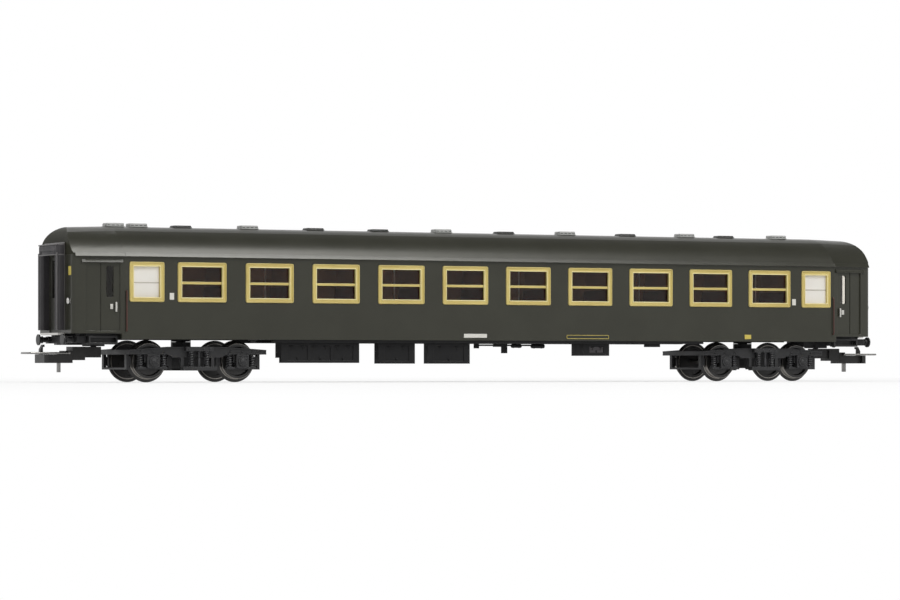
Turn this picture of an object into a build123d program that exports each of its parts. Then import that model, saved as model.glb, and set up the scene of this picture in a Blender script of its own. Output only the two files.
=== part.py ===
"""Model railway passenger coach, 1:87, with compartments, gangways and loop couplers. Millimetres.

X runs along the coach, Y across it (the near side is -Y) and Z up from the wheel flange tips.
Levels are heights above the rail head, which lies one flange depth above Z = 0. Names that end in
IN are distances from the end wall towards the middle of the coach.
"""

import os

from build123d import *

# Body: window bays between two end zones, sides drawn in towards the ends past the toilets
WINDOW_COUNT = 10
WINDOW_PITCH = 21.98
END_ZONE = 29.1
BODY_WIDTH = 33.14
END_DRAW = 2.62
TAPER_IN = 15.5
CORNER_R = 1.5
WALL = 1.1
SET_GAP = 0.04
SIDE_DROP = 1.95
BAY_DROP = 0.25
EAVES = 36.7

# Roof section: rises above the eaves, and how far in from the side the shoulder and crown begin
ROOF_RISE = 8.8
CROWN_IN = 8.33
CROWN_RISE = 7.2
SHOULDER_IN = 3.68
SHOULDER_RISE = 4.38
ROOF_WALL = 1.2
ROOF_END_WALL = 2.5
ROOF_END_R = 5.0
ROOF_END_DROP = 0.5
GUTTER_OUT = 0.18
GUTTER_HIGH = 0.45
GUTTER_IN = 2.0
VENT_LONG = 5.6
VENT_WIDE = 3.8
VENT_HIGH = 1.05
VENT_ROUND = 0.45

# Windows, hung from the eaves
WINDOW_WIDE = 15.79
WINDOW_DROP = 2.03
WINDOW_TALL = 11.93
WINDOW_CORNER = 0.7
FRAME_BORDER = 1.4
TRANSOM_UP = 5.76
TRANSOM_HIGH = 0.75
TRANSOM_SUNK = 0.3
FRAME_PROUD = 0.15
FRAME_THICK = 0.8
PANE_THICK = 0.4
TOILET_IN = 22.43
TOILET_WIDE = 11.15

# Folding entrance doors in the drawn-in bays
BAY_FOOT_IN = 14.6
DOOR_IN = 4.0
DOOR_WIDE = 10.1
DOOR_SILL = 0.75
DOOR_DROP = 2.2
DOOR_CORNER = 0.6
DOOR_DEEP = 0.35
FOLD_IN = 8.4
FOLD_WIDE = 0.35
FOLD_DEEP = 0.6
DOOR_WINDOW_IN = 11.2
DOOR_WINDOW_WIDE = 2.2
DOOR_WINDOW_DROP = 3.4
DOOR_WINDOW_TALL = 9.2
DRIP_DROP = 1.45
DRIP_HIGH = 0.4
DRIP_OUT = 0.4
DRIP_OVER = 0.3

# Gangways and end fittings
GANGWAY_DEEP = 2.4
GANGWAY_WIDE = 15.8
GANGWAY_SILL = 0.8
GANGWAY_RISE = 3.3
GANGWAY_ROLL = 2.7
GANGWAY_ROUND = 0.9
DOORWAY_WIDE = 10.0
DOORWAY_DROP = 0.3
END_DOOR_THICK = 0.8
END_LIGHT_WIDE = 7.4
END_LIGHT_DROP = 1.3
END_LIGHT_TALL = 11.0
BRIDGE_WIDE = 14.5
BRIDGE_THICK = 0.65
BRIDGE_SHORT = 0.4
LAMP_SHARE = 0.61
LAMP_DROP = 13.7
LAMP_R = 0.9
LAMP_OUT = 0.6

# Interior
BALLAST_IN = 2.97
BALLAST_THICK = 1.2
TRAY_THICK = 0.6
ROOM_GAP = 0.5
CORRIDOR_WIDE = 8.97
PARTITION = 0.6
BENCH_DEEP = 5.4
BENCH_HIGH = 3.6
BENCH_BACK = 1.6
BENCH_TOP = 11.2
BENCH_GAP = 0.6

# Underframe, hung from the floor, which clears the wheels
FLOOR_CLEAR = 2.1
FLOOR_THICK = 1.2
SOLEBAR_HIGH = 2.8
SOLEBAR_GAP = 0.17
SOLEBAR_WIDE = 1.9
SOLEBAR_CLEAR = 23.85
SPINE_WIDE = 4.0
HEADSTOCK_IN = 1.8
HEADSTOCK_DEEP = 2.8
HEADSTOCK_SHORT = 0.95
HEADSTOCK_DROP = 1.0
HEADSTOCK_HIGH = 2.1
HEADSTOCK_LUG = 3.0
BUFFER_OUT = 1.8
BUFFER_IN = 2.94
BUFFER_DROP = 2.0
BUFFER_HEAD_R = 1.65
BUFFER_HEAD_THICK = 0.65
BUFFER_SHANK_R = 0.8
BUFFER_BASE_R = 1.05
BUFFER_BASE_THICK = 0.5
STEP_WIDE = 9.1
STEP_DROP = 3.5
STEP_RISE = 2.0
STEP_IN = 1.95
STEP_DEEP = 2.4
STEP_THICK = 0.5
BOX_FACE_IN = 2.07
BOX_SILL = 0.25
LID_LEAST = 8.0
LID_BORDER = 0.8
ROD_R = 0.25
ROD_Y = 1.0
ROD_PITCHES = 1.03

# Bogies, from the pivot outwards
PIVOT_IN = 40.15
PIVOT_R = 1.5
PIVOT_BOSS_R = 3.0
PIVOT_DROP = 2.6
PIVOT_PLAY = 0.1
RUN_GAP = 0.05
WHEELBASE = 28.74
WHEEL_R = 5.3
FLANGE_DEPTH = 1.0
WHEEL_BACK = 7.2
WHEEL_WIDE = 2.8
RIM_THICK = 0.9
HUB_R = 1.7
AXLE_R = 0.75
JOURNAL_R = 0.6
JOURNAL_LONG = 1.4
FRAME_IN = 11.0
FRAME_WIDE = 2.0
FRAME_TOP = 9.6
FRAME_END_TOP = 8.7
FRAME_LOW = 7.3
FRAME_DIP = 6.4
DIP_GAP = 0.07
CROWN_FLAT = 9.0
END_BEAM = 1.1
END_BEAM_GAP = 0.53
CROSSBAR_X = 5.2
CROSSBAR_WIDE = 2.0
BOLSTER_WIDE = 8.8
BOLSTER_REACH = 1.9
BOLSTER_THICK = 1.3
PLANK_LOW = 2.5
PLANK_THICK = 1.1
PLANK_WIDE = 10.8
LINK_WIDE = 1.0
LINK_THICK = 0.5
BOX_WIDE = 4.0
BOX_LOW = 3.2
BOX_PROUD = 0.7
BOX_COVER_R = 1.45
BOX_COVER_OUT = 0.4
HORN_WIDE = 0.5
HORN_HIGH = 2.4
SEAT_REACH = 4.7
SEAT_THICK = 0.7
SPRING_R = 1.0
SPRING_OFF = 3.7
BIG_SPRING_R = 0.85
BIG_SPRING_X = 2.5
DAMPER_R = 0.5
COIL_PITCH = 0.94
COIL_DEEP = 0.22
SHOE_GAP = 0.4
SHOE_DEEP = 1.1
SHOE_HALF_HIGH = 1.4
SHOE_Y = 9.15
SHOE_WIDE = 1.5
HANGER_OFF = 0.6
HANGER_THICK = 0.9
BRAKE_BAR_LOW = 2.8
BRAKE_BAR_THICK = 0.6

# Couplers, along the coach from the coupler pivot outwards
COUPLER_IN = 12.0
COUPLER_PIN_R = 0.9
COUPLER_TOP = 9.6
COUPLER_PLAY = 0.15
GUIDE_LONG = 4.5
GUIDE_WIDE = 6.8
DRAWBAR_TAIL = 1.7
DRAWBAR_LONG = 7.6
DRAWBAR_WIDE = 4.0
DRAWBAR_THICK = 3.2
POCKET_LONG = 4.0
POCKET_WIDE = 5.2
POCKET_DEEP = 0.8
HEAD_LONG = 9.4
HEAD_WIDE = 5.4
HEAD_LOW = 4.75
HEAD_HIGH = 7.35
HEAD_PLATE = 1.3
HEAD_PLATE_WIDE = 8.0
HOOK_LONG = 0.5
HOOK_WIDE = 1.6
HOOK_HIGH = 2.85
EAR_LONG = 2.2
LOOP_PIVOT = 9.0
LOOP_LEVEL = 7.7
LOOP_PIN_R = 0.35
LOOP_LONG = 12.8
LOOP_WIDE = 7.6
LOOP_WIRE = 0.6
LOOP_CORNER = 1.4
FOOT_OFF = 2.0
FOOT_THICK = 0.7
FOOT_WIDE = 1.75
FOOT_LOW = 2.0
FOOT_SWING = 2.4

half_width = BODY_WIDTH / 2
end_half = half_width - END_DRAW
half_length = WINDOW_COUNT * WINDOW_PITCH / 2 + END_ZONE
taper_start = half_length - TAPER_IN
frame_out = FRAME_IN + FRAME_WIDE
pivot_x = half_length - PIVOT_IN
coupler_x = half_length - COUPLER_IN
floor_under = 2 * WHEEL_R + FLANGE_DEPTH + FLOOR_CLEAR
floor_top = floor_under + FLOOR_THICK
side_foot = floor_under - SIDE_DROP
bay_foot = floor_under - BAY_DROP
sole_low = floor_under - SOLEBAR_HIGH
roof_top = EAVES + ROOF_RISE
window_high = EAVES - WINDOW_DROP
window_low = window_high - WINDOW_TALL
door_high = EAVES - DOOR_DROP
door_low = bay_foot + DOOR_SILL
light_high = EAVES - DOOR_WINDOW_DROP
light_low = light_high - DOOR_WINDOW_TALL
tray_top = floor_top + BALLAST_THICK + TRAY_THICK
far = 2 * half_length


def slab(x_a, x_b, y_a, y_b, low, high):
    """Box between two X, two Y and two levels."""
    middle = Pos((x_a + x_b) / 2, (y_a + y_b) / 2, FLANGE_DEPTH + (low + high) / 2)
    return middle * Box(abs(x_b - x_a), abs(y_b - y_a), abs(high - low))


def block(x, wide, y, deep, low, high):
    """Box from its middle in X and Y and its two levels."""
    return slab(x - wide / 2, x + wide / 2, y - deep / 2, y + deep / 2, low, high)


def upright(x, y, radius, low, high):
    """Standing cylinder between two levels."""
    return Pos(x, y, FLANGE_DEPTH + (low + high) / 2) * Cylinder(radius, high - low)


def crossways(x, level, radius, y_a, y_b):
    """Cylinder lying across the coach."""
    turned = Pos(x, (y_a + y_b) / 2, FLANGE_DEPTH + level) * Rot(90, 0, 0)
    return turned * Cylinder(radius, abs(y_b - y_a))


def lengthways(x_a, x_b, y, level, radius):
    """Cylinder lying along the coach."""
    turned = Pos((x_a + x_b) / 2, y, FLANGE_DEPTH + level) * Rot(0, 90, 0)
    return turned * Cylinder(radius, abs(x_b - x_a))


def side_profile(points, y_a, y_b):
    """Outline of X and level pairs, drawn from one Y to another."""
    outline = make_face(Polyline(*[(x, FLANGE_DEPTH + level) for x, level in points], close=True))
    return Pos(0, max(y_a, y_b), 0) * extrude(Plane.XZ * outline, abs(y_b - y_a))


def other_side(shape):
    return mirror(shape, about=Plane.XZ)


def other_end(shape):
    return mirror(shape, about=Plane.YZ)


def both_sides(shape):
    return [shape, other_side(shape)]


def both_ends(shape):
    return [shape, other_end(shape)]


def four_corners(shape):
    return [*both_sides(shape), *both_sides(other_end(shape))]


def save(name, shapes):
    export_step(Part() + shapes, f"parts/{name}.step")


def plan(inset, low, high):
    """Upright block with the body's outline seen from above, drawn in by an inset."""
    end = half_length - inset
    wide = half_width - inset
    narrow = end_half - inset
    corners = [(-end, -narrow), (-taper_start, -wide), (taper_start, -wide), (end, -narrow)]
    corners += [(end, narrow), (taper_start, wide), (-taper_start, wide), (-end, narrow)]
    outline = make_face(Polyline(*corners, close=True))
    by_length = outline.vertices().group_by(Axis.X)
    outline = fillet(by_length[0] + by_length[-1], max(CORNER_R - inset, CORNER_R / 5))
    return Pos(0, 0, FLANGE_DEPTH + low) * extrude(outline, high - low)


def skin(outer, inner):
    """Ring of body wall between two insets, the full height of the sides."""
    return plan(outer, side_foot, EAVES) - plan(inner, side_foot - WALL, EAVES + WALL)


def side_opening(x, wide, low, high, corner):
    """Block that passes through both sides of the body, round-cornered if a radius is given."""
    tall = high - low
    outline = RectangleRounded(wide, tall, corner) if corner else Rectangle(wide, tall)
    place = Plane.XZ * Pos(x, FLANGE_DEPTH + (low + high) / 2)
    return extrude(place * outline, BODY_WIDTH, both=True)


def near_side(x, wide, low, high, corner, outer, inner):
    """Round-cornered plate in the near side between two distances from the middle."""
    reach = slab(x - wide, x + wide, -outer, -inner, low - wide, high + wide)
    return side_opening(x, wide, low, high, corner) & reach


os.makedirs("parts", exist_ok=True)
window_x = [(k - (WINDOW_COUNT - 1) / 2) * WINDOW_PITCH for k in range(WINDOW_COUNT)]
toilet_x = half_length - TOILET_IN
windows = [(x, WINDOW_WIDE) for x in window_x]
toilets = [(x, TOILET_WIDE) for x in (-toilet_x, toilet_x)]

# Body: one hollow moulding with both sides, both ends, the window openings and the door leaves
shell = skin(0, WALL)
door_x = half_length - DOOR_IN - DOOR_WIDE / 2
doorway = half_length - 2 * WALL
doorway_high = EAVES - DOORWAY_DROP
fold_x = half_length - FOLD_IN
for end in (-1, 1):
    bay = end * (half_length - BAY_FOOT_IN)
    shell -= slab(bay, end * far, -BODY_WIDTH, BODY_WIDTH, side_foot - WALL, bay_foot)
    shell -= slab(end * doorway, end * far, -DOORWAY_WIDE / 2, DOORWAY_WIDE / 2, side_foot, doorway_high)
    leaf = side_opening(end * door_x, DOOR_WIDE, door_low, door_high, DOOR_CORNER)
    shell -= leaf & skin(-WALL, DOOR_DEEP)
    fold = side_opening(end * fold_x, FOLD_WIDE, door_low, door_high, 0)
    shell -= fold & skin(-WALL, FOLD_DEEP)
    light_x = end * (half_length - DOOR_WINDOW_IN)
    shell -= side_opening(light_x, DOOR_WINDOW_WIDE, light_low, light_high, DOOR_CORNER)
    drip_wide = DOOR_WIDE + 2 * DRIP_OVER
    drip_high = EAVES - DRIP_DROP
    drip = side_opening(end * door_x, drip_wide, drip_high - DRIP_HIGH, drip_high, 0)
    shell += drip & skin(-DRIP_OUT, WALL / 3)
for x, wide in windows + toilets:
    shell -= side_opening(x, wide, window_low, window_high, WINDOW_CORNER)
save("body_shell", [shell])


# Roof: hollow arch that narrows over the door bays and rounds down at both ends
def arch(x, half, drop, inset):
    """Roof section at a station along the coach."""
    eave = half - inset
    narrower = eave / half_width
    low = EAVES + FLANGE_DEPTH - inset
    crown = (half_width - CROWN_IN) * narrower
    crown_edge = low - drop + CROWN_RISE
    shoulder = (half_width - SHOULDER_IN) * narrower
    bend = low - drop + SHOULDER_RISE
    top = low - drop + ROOF_RISE
    with BuildSketch(Plane((x, 0, 0), (0, 1, 0), (1, 0, 0))) as section:
        with BuildLine():
            ThreePointArc((eave, low), (shoulder, bend), (crown, crown_edge))
            ThreePointArc((crown, crown_edge), (0, top), (-crown, crown_edge))
            ThreePointArc((-crown, crown_edge), (-shoulder, bend), (-eave, low))
            Line((-eave, low), (eave, low))
        make_face()
    return section.sketch


def arch_block(inset):
    """Solid roof shape: a straight middle and a narrowing piece at each end."""
    middle = extrude(arch(0, half_width, 0, inset), taper_start, both=True)
    narrow = arch(half_length, end_half, ROOF_END_DROP, inset)
    taper = loft([arch(taper_start, half_width, 0, inset), narrow])
    return middle + taper + other_end(taper)


rounded = Rectangle(2 * half_length, 2 * ROOF_RISE)
rounded = fillet(rounded.vertices(), ROOF_END_R)
roof_block = arch_block(0)
roof_block &= extrude(Plane.XZ * Pos(0, EAVES + FLANGE_DEPTH) * rounded, BODY_WIDTH, both=True)
roof_block &= plan(0, EAVES, roof_top + WALL)
cavity = half_length - ROOF_END_WALL
hollow = arch_block(ROOF_WALL) & slab(-cavity, cavity, -BODY_WIDTH, BODY_WIDTH, EAVES - 2 * WALL, roof_top)
gutter = plan(-GUTTER_OUT, EAVES, EAVES + GUTTER_HIGH) - plan(ROOF_WALL, EAVES - WALL, EAVES + WALL)
gutter_half = half_length - GUTTER_IN
gutter &= slab(-gutter_half, gutter_half, -BODY_WIDTH, BODY_WIDTH, EAVES, roof_top)
save("roof", [roof_block - hollow + gutter])

# Roof vents on the crown, at these numbers of window pitches from the middle
vent_stations = (-5.49, -5.15, -4.5, -3.5, -2.5, -1.5, -0.5, 0.5, 1.5, 2.5, 3.5, 4.17, 5.08)
vents = []
for station in vent_stations:
    x = station * WINDOW_PITCH
    hood = block(x, VENT_LONG, 0, VENT_WIDE, roof_top - VENT_HIGH, roof_top + VENT_HIGH)
    hood = fillet(hood.faces().sort_by(Axis.Z)[-1].edges(), VENT_ROUND)
    vents.append(hood - Pos(0, 0, SET_GAP) * roof_block)
save("roof_vents", vents)

# Window frames, with a sunk transom but for the toilets, and the panes behind them, set into the openings
frame_face = half_width + FRAME_PROUD
pane_face = frame_face - FRAME_THICK
low = window_low + SET_GAP
high = window_high - SET_GAP
transom = window_low + TRANSOM_UP
frames = []
panes = {WINDOW_WIDE: [], TOILET_WIDE: []}
for x, opening in windows + toilets:
    wide = opening - 2 * SET_GAP
    sight = wide - 2 * FRAME_BORDER
    frame = near_side(x, wide, low, high, WINDOW_CORNER, frame_face, pane_face)
    frame -= side_opening(x, sight, low + FRAME_BORDER, high - FRAME_BORDER, 0)
    if opening == WINDOW_WIDE:
        bar = side_opening(x, wide - FRAME_BORDER, transom - TRANSOM_HIGH / 2, transom + TRANSOM_HIGH / 2, 0)
        frame += bar & slab(x - wide, x + wide, -frame_face + TRANSOM_SUNK, -pane_face, low, high)
    frames.append(frame)
    panes[opening].append(near_side(x, wide, low, high, WINDOW_CORNER, pane_face, pane_face - PANE_THICK))
save("window_frames_near", frames)
save("window_frames_far", [other_side(f) for f in frames])
save("window_glass_near", panes[WINDOW_WIDE])
save("window_glass_far", [other_side(p) for p in panes[WINDOW_WIDE]])
save("toilet_panes", [s for p in panes[TOILET_WIDE] for s in both_sides(p)])
light_x = half_length - DOOR_WINDOW_IN
door_pane = side_opening(
    light_x,
    DOOR_WINDOW_WIDE - 2 * SET_GAP,
    light_low + SET_GAP,
    light_high - SET_GAP,
    DOOR_CORNER,
)
door_pane &= skin(WALL - PANE_THICK - SET_GAP, WALL - SET_GAP)
door_pane &= slab(0, far, -BODY_WIDTH, 0, 0, EAVES)

# Gangway: rubber rolls on both sides and on top, a bridge plate below and a closed end door with its window
gangway_out = half_length + GANGWAY_DEEP
roll = GANGWAY_WIDE / 2
passage = roll - GANGWAY_ROLL
gangway_low = floor_under + GANGWAY_SILL
gangway_high = EAVES + GANGWAY_RISE
bellows = slab(half_length, gangway_out, -roll, roll, gangway_low, gangway_high)
bellows -= slab(half_length - WALL, far, -passage, passage, 0, gangway_high - GANGWAY_ROLL)
front = bellows.faces().sort_by(Axis.X)[-1].edges()
front = [e for e in front if e.center().Z > FLANGE_DEPTH + gangway_low + SET_GAP]
bellows = fillet(front, GANGWAY_ROUND)
save("gangway_right", [bellows])
save("gangway_left", [other_end(bellows)])
bridge_top = floor_under - SET_GAP
bridge_low = bridge_top - BRIDGE_THICK
bridge_in = half_length - WALL
bridge_out = gangway_out - BRIDGE_SHORT
bridge = slab(bridge_in, bridge_out, -passage, passage, bridge_low, bridge_top)
bridge += slab(half_length, bridge_out, -BRIDGE_WIDE / 2, BRIDGE_WIDE / 2, bridge_low, bridge_top)
bridge -= slab(bridge_in - WALL, half_length, DOORWAY_WIDE / 2 - SET_GAP, roll, 0, floor_under)
bridge -= slab(bridge_in - WALL, half_length, -DOORWAY_WIDE / 2 + SET_GAP, -roll, 0, floor_under)
save("bridge_plates", both_ends(bridge))
end_door = slab(
    half_length - WALL,
    half_length - WALL + END_DOOR_THICK,
    -DOORWAY_WIDE / 2 + SET_GAP,
    DOORWAY_WIDE / 2 - SET_GAP,
    floor_under,
    doorway_high - SET_GAP,
)
end_light_high = doorway_high - END_LIGHT_DROP
end_light_low = end_light_high - END_LIGHT_TALL
end_door -= slab(0, far, -END_LIGHT_WIDE / 2, END_LIGHT_WIDE / 2, end_light_low, end_light_high)
end_pane = slab(
    half_length - WALL,
    half_length - WALL + PANE_THICK,
    -END_LIGHT_WIDE / 2 + SET_GAP,
    END_LIGHT_WIDE / 2 - SET_GAP,
    end_light_low + SET_GAP,
    end_light_high - SET_GAP,
)
save("door_glass", [*four_corners(door_pane), *both_ends(end_pane)])
save("end_doors", both_ends(end_door))
lamp_y = roll + (end_half - roll) * LAMP_SHARE
lamp = lengthways(half_length, half_length + LAMP_OUT, -lamp_y, EAVES - LAMP_DROP, LAMP_R)
save("end_lamps", four_corners(lamp))

# Interior on the ballast plate: tray, compartment partitions, corridor wall and benches
room = half_width - WALL - ROOM_GAP
room_end = taper_start
corridor_y = room - CORRIDOR_WIDE
sole_half = pivot_x - SOLEBAR_CLEAR
ballast = block(0, 2 * sole_half, 0, 2 * (room - BALLAST_IN), floor_top, floor_top + BALLAST_THICK)
save("ballast_plate", [ballast])
tray = slab(-room_end, room_end, -room, room, tray_top - TRAY_THICK, tray_top)
tray += slab(-room_end, room_end, corridor_y, corridor_y + PARTITION, tray_top, EAVES)
for end in (-1, 1):
    tray += slab(end * room_end, end * (room_end - PARTITION), -room, room, tray_top, EAVES)
benches = []
for k in range(WINDOW_COUNT + 1):
    x = (k - WINDOW_COUNT / 2) * WINDOW_PITCH
    tray += slab(x - PARTITION / 2, x + PARTITION / 2, -room, corridor_y, tray_top, EAVES)
    for way, used in ((-1, k > 0), (1, k < WINDOW_COUNT)):
        if used:
            edge = x + way * PARTITION / 2
            seat = [(edge, tray_top), (edge + way * BENCH_DEEP, tray_top)]
            seat += [(edge + way * BENCH_DEEP, tray_top + BENCH_HIGH)]
            seat += [(edge + way * BENCH_BACK, tray_top + BENCH_HIGH - BENCH_GAP)]
            seat += [(edge + way * BENCH_BACK / 2, tray_top + BENCH_TOP), (edge, tray_top + BENCH_TOP)]
            benches.append(side_profile(seat, -room + BENCH_GAP, corridor_y - BENCH_GAP))
save("interior_walls", [tray])
save("benches", benches)

# Underframe: floor, solebars and spine, headstocks, pivot posts and coupler guides
save("floor_pan", [plan(WALL + SET_GAP, floor_under, floor_top)])
sole_y = half_width - WALL - SOLEBAR_GAP - SOLEBAR_WIDE / 2
bars = [block(0, 2 * sole_half, y, SOLEBAR_WIDE, sole_low, floor_under) for y in (-sole_y, sole_y)]
bars.append(block(0, 2 * sole_half, 0, SPINE_WIDE, sole_low, floor_under))
save("solebars", bars)
head_out = half_length - HEADSTOCK_IN
head_in = head_out - HEADSTOCK_DEEP
headstock_half = end_half - HEADSTOCK_SHORT
headstock_high = floor_under - HEADSTOCK_DROP
buffer_y = headstock_half - BUFFER_IN
headstock_low = headstock_high - HEADSTOCK_HIGH
headstock = slab(head_in, head_out, -headstock_half, headstock_half, headstock_low, headstock_high)
for y in (-buffer_y, buffer_y):
    lug = slab(0, HEADSTOCK_LUG / 2, y - HEADSTOCK_LUG / 2, y + HEADSTOCK_LUG / 2, headstock_low, floor_under)
    headstock += Pos(head_in, 0, 0) * lug
save("headstocks", both_ends(headstock))
pivot_top = floor_under - PIVOT_DROP
post = upright(pivot_x, 0, PIVOT_BOSS_R, pivot_top + PIVOT_PLAY, floor_under)
post += upright(pivot_x, 0, PIVOT_R, FRAME_LOW, floor_under)
save("pivot_posts", both_ends(post))
guide_low = COUPLER_TOP + COUPLER_PLAY
guide = block(coupler_x, GUIDE_LONG, 0, GUIDE_WIDE, guide_low, floor_under)
guide += upright(coupler_x, 0, COUPLER_PIN_R, COUPLER_TOP - DRAWBAR_THICK, floor_under)
save("coupler_guides", both_ends(guide))

# Buffers: base, shank and round head turned in one piece, two at each end
face_x = half_length + BUFFER_OUT
rear_x = face_x - BUFFER_HEAD_THICK
turned = [(head_out, 0), (head_out, BUFFER_BASE_R), (head_out + BUFFER_BASE_THICK, BUFFER_BASE_R)]
turned += [(head_out + BUFFER_BASE_THICK, BUFFER_SHANK_R), (rear_x, BUFFER_SHANK_R)]
turned += [(rear_x + BUFFER_HEAD_THICK / 3, BUFFER_HEAD_R), (face_x, BUFFER_HEAD_R), (face_x, 0)]
buffer = revolve(make_face(Polyline(*turned, close=True)), Axis.X)
buffer = Pos(0, -buffer_y, FLANGE_DEPTH + floor_under - BUFFER_DROP) * buffer
save("buffers_right", both_sides(buffer))
save("buffers_left", [other_end(b) for b in both_sides(buffer)])

# Door steps: back plate, two treads and two cheeks under each door, between bay and headstock
step_a = half_length - DOOR_IN - DOOR_WIDE
step_b = step_a + STEP_WIDE
step_back = STEP_IN - end_half
step_y = step_back - STEP_DEEP
step_low = floor_under - STEP_DROP
step = slab(step_a, step_b, step_back, step_back - STEP_THICK, step_low, floor_under)
for tread in (step_low, step_low + STEP_RISE):
    step += slab(step_a, step_b, step_back, step_y, tread, tread + STEP_THICK)
for cheek in (step_a, step_b - STEP_THICK):
    step += slab(cheek, cheek + STEP_THICK, step_back, step_y, step_low, step_low + STEP_RISE)
save("door_steps", four_corners(step))

# Boxes under the floor, with as many lids as fit: from and to in window pitches, side, depth, foot level
boxes = {
    "battery_boxes": [(-3.285, -2.102, -1, 4.4, 4.81), (-2.66, -1.64, 1, 4.0, 4.95)],
    "equipment_boxes": [
        (-1.806, -1.242, -1, 3.0, 4.6),
        (-1.037, -0.382, -1, 3.0, 4.6),
        (1.447, 1.865, -1, 8.0, 7.1),
        (2.516, 2.707, -1, 3.0, 9.9),
        (-1.19, -0.71, 1, 3.0, 4.8),
        (-0.43, 0.155, 1, 3.0, 4.8),
        (1.98, 2.47, 1, 3.0, 7.3),
    ],
}
for name, rows in boxes.items():
    cases = []
    for a, b, side, depth, foot in rows:
        start = a * WINDOW_PITCH
        stop = b * WINDOW_PITCH
        lids = int((stop - start) / LID_LEAST)
        face = side * (half_width - BOX_FACE_IN)
        case = slab(start, stop, face, face - side * depth, foot, sole_low)
        if name == "battery_boxes":
            skirt = face - side * 2 * LID_BORDER
            case -= slab(start, stop, skirt, face - side * depth, foot, foot + (sole_low - foot) / 4)
        for lid in range(lids):
            pitch = (stop - start - 4 * LID_BORDER) / lids
            left = start + 2 * LID_BORDER + lid * pitch
            panel = slab(
                left + LID_BORDER / 2,
                left + pitch - LID_BORDER / 2,
                face,
                face - side * BOX_SILL,
                foot + LID_BORDER,
                sole_low - LID_BORDER,
            )
            case -= panel
        cases.append(case)
    save(name, cases)

# Brake gear under the spine: pull rod, levers and cylinders, from and to in window pitches
rod_level = sole_low - 2 * ROD_R
brake = lengthways(0, ROD_PITCHES * WINDOW_PITCH, -ROD_Y, rod_level, ROD_R)
for a, b, foot in ((0, 0.077, 9.4), (0.309, 0.441, 9.9), (0.441, 0.532, 7.9)):
    brake += slab(a * WINDOW_PITCH, b * WINDOW_PITCH, -ROD_Y - ROD_R, -ROD_Y + ROD_R, foot, sole_low)
for a, b, radius in ((0.6, 0.764, 0.6), (0.924, 1.137, 0.7)):
    tank = lengthways(a * WINDOW_PITCH, b * WINDOW_PITCH, -ROD_Y, rod_level - radius / 3, radius)
    tank = chamfer(tank.edges().filter_by(GeomType.CIRCLE), radius / 3)
    strap = (b - a) * WINDOW_PITCH / 3
    middle = (a + b) / 2 * WINDOW_PITCH
    brake += tank + block(middle, strap, -ROD_Y, 3 * ROD_R, rod_level, sole_low)
save("brake_gear", [brake])

# Wheelsets: a plain axle with two coned and flanged wheels each
rim = WHEEL_R - RIM_THICK
web_back = WHEEL_BACK + WHEEL_WIDE * 0.3
web_face = WHEEL_BACK + WHEEL_WIDE * 0.68
wheel_face = WHEEL_BACK + WHEEL_WIDE
bore = AXLE_R + SET_GAP / 2
section = [(bore, web_back), (rim, web_back), (rim, WHEEL_BACK), (WHEEL_R + FLANGE_DEPTH * 0.7, WHEEL_BACK)]
section += [(WHEEL_R + FLANGE_DEPTH, WHEEL_BACK + FLANGE_DEPTH * 0.4)]
section += [(WHEEL_R, WHEEL_BACK + FLANGE_DEPTH), (WHEEL_R - SET_GAP, wheel_face), (rim, wheel_face)]
section += [(rim - RIM_THICK / 3, web_face), (HUB_R, web_face), (HUB_R, wheel_face), (bore, wheel_face)]
wheel = revolve(make_face(Polyline(*section, close=True)), Axis.Y)
journal_end = FRAME_IN + JOURNAL_LONG
axle_x = [end * pivot_x + way * WHEELBASE / 2 for end in (-1, 1) for way in (-1, 1)]
for number, x in enumerate(axle_x, 1):
    place = Pos(x, 0, FLANGE_DEPTH + WHEEL_R)
    save(f"wheels_{number}", [place * wheel, place * other_side(wheel)])
    shoulder = (wheel_face + FRAME_IN) / 2
    axle = crossways(x, WHEEL_R, AXLE_R, -shoulder, shoulder)
    axle += crossways(x, WHEEL_R, JOURNAL_R, -journal_end, journal_end)
    save(f"axle_{number}", [axle])

# Bogie frame: two cranked side beams, end beams, crossbars, centre block, bolster and spring planks
bolster_out = frame_out + BOLSTER_REACH
plank_top = PLANK_LOW + PLANK_THICK
seat_top = BOX_LOW + SEAT_THICK / 2
crank = WHEELBASE / 2 - SPRING_OFF - SPRING_R - DIP_GAP
dip_half = crank - FRAME_WIDE
beam_in = WHEELBASE / 2 + WHEEL_R + FLANGE_DEPTH + END_BEAM_GAP
bogie_half = beam_in + END_BEAM
beam = [(-bogie_half, FRAME_LOW), (-bogie_half, FRAME_END_TOP), (-CROWN_FLAT, FRAME_TOP)]
beam += [(CROWN_FLAT, FRAME_TOP), (bogie_half, FRAME_END_TOP), (bogie_half, FRAME_LOW)]
beam += [(crank, FRAME_LOW), (dip_half, FRAME_DIP), (-dip_half, FRAME_DIP), (-crank, FRAME_LOW)]
side = side_profile(beam, -frame_out, -FRAME_IN)
bolster_low = FRAME_TOP - BOLSTER_THICK
side += slab(-BOLSTER_WIDE / 2, BOLSTER_WIDE / 2, -bolster_out, -FRAME_IN, bolster_low, FRAME_TOP)
plank_in = frame_out - LINK_THICK
side += slab(-PLANK_WIDE / 2, PLANK_WIDE / 2, -bolster_out, -plank_in, PLANK_LOW, plank_top)
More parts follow.
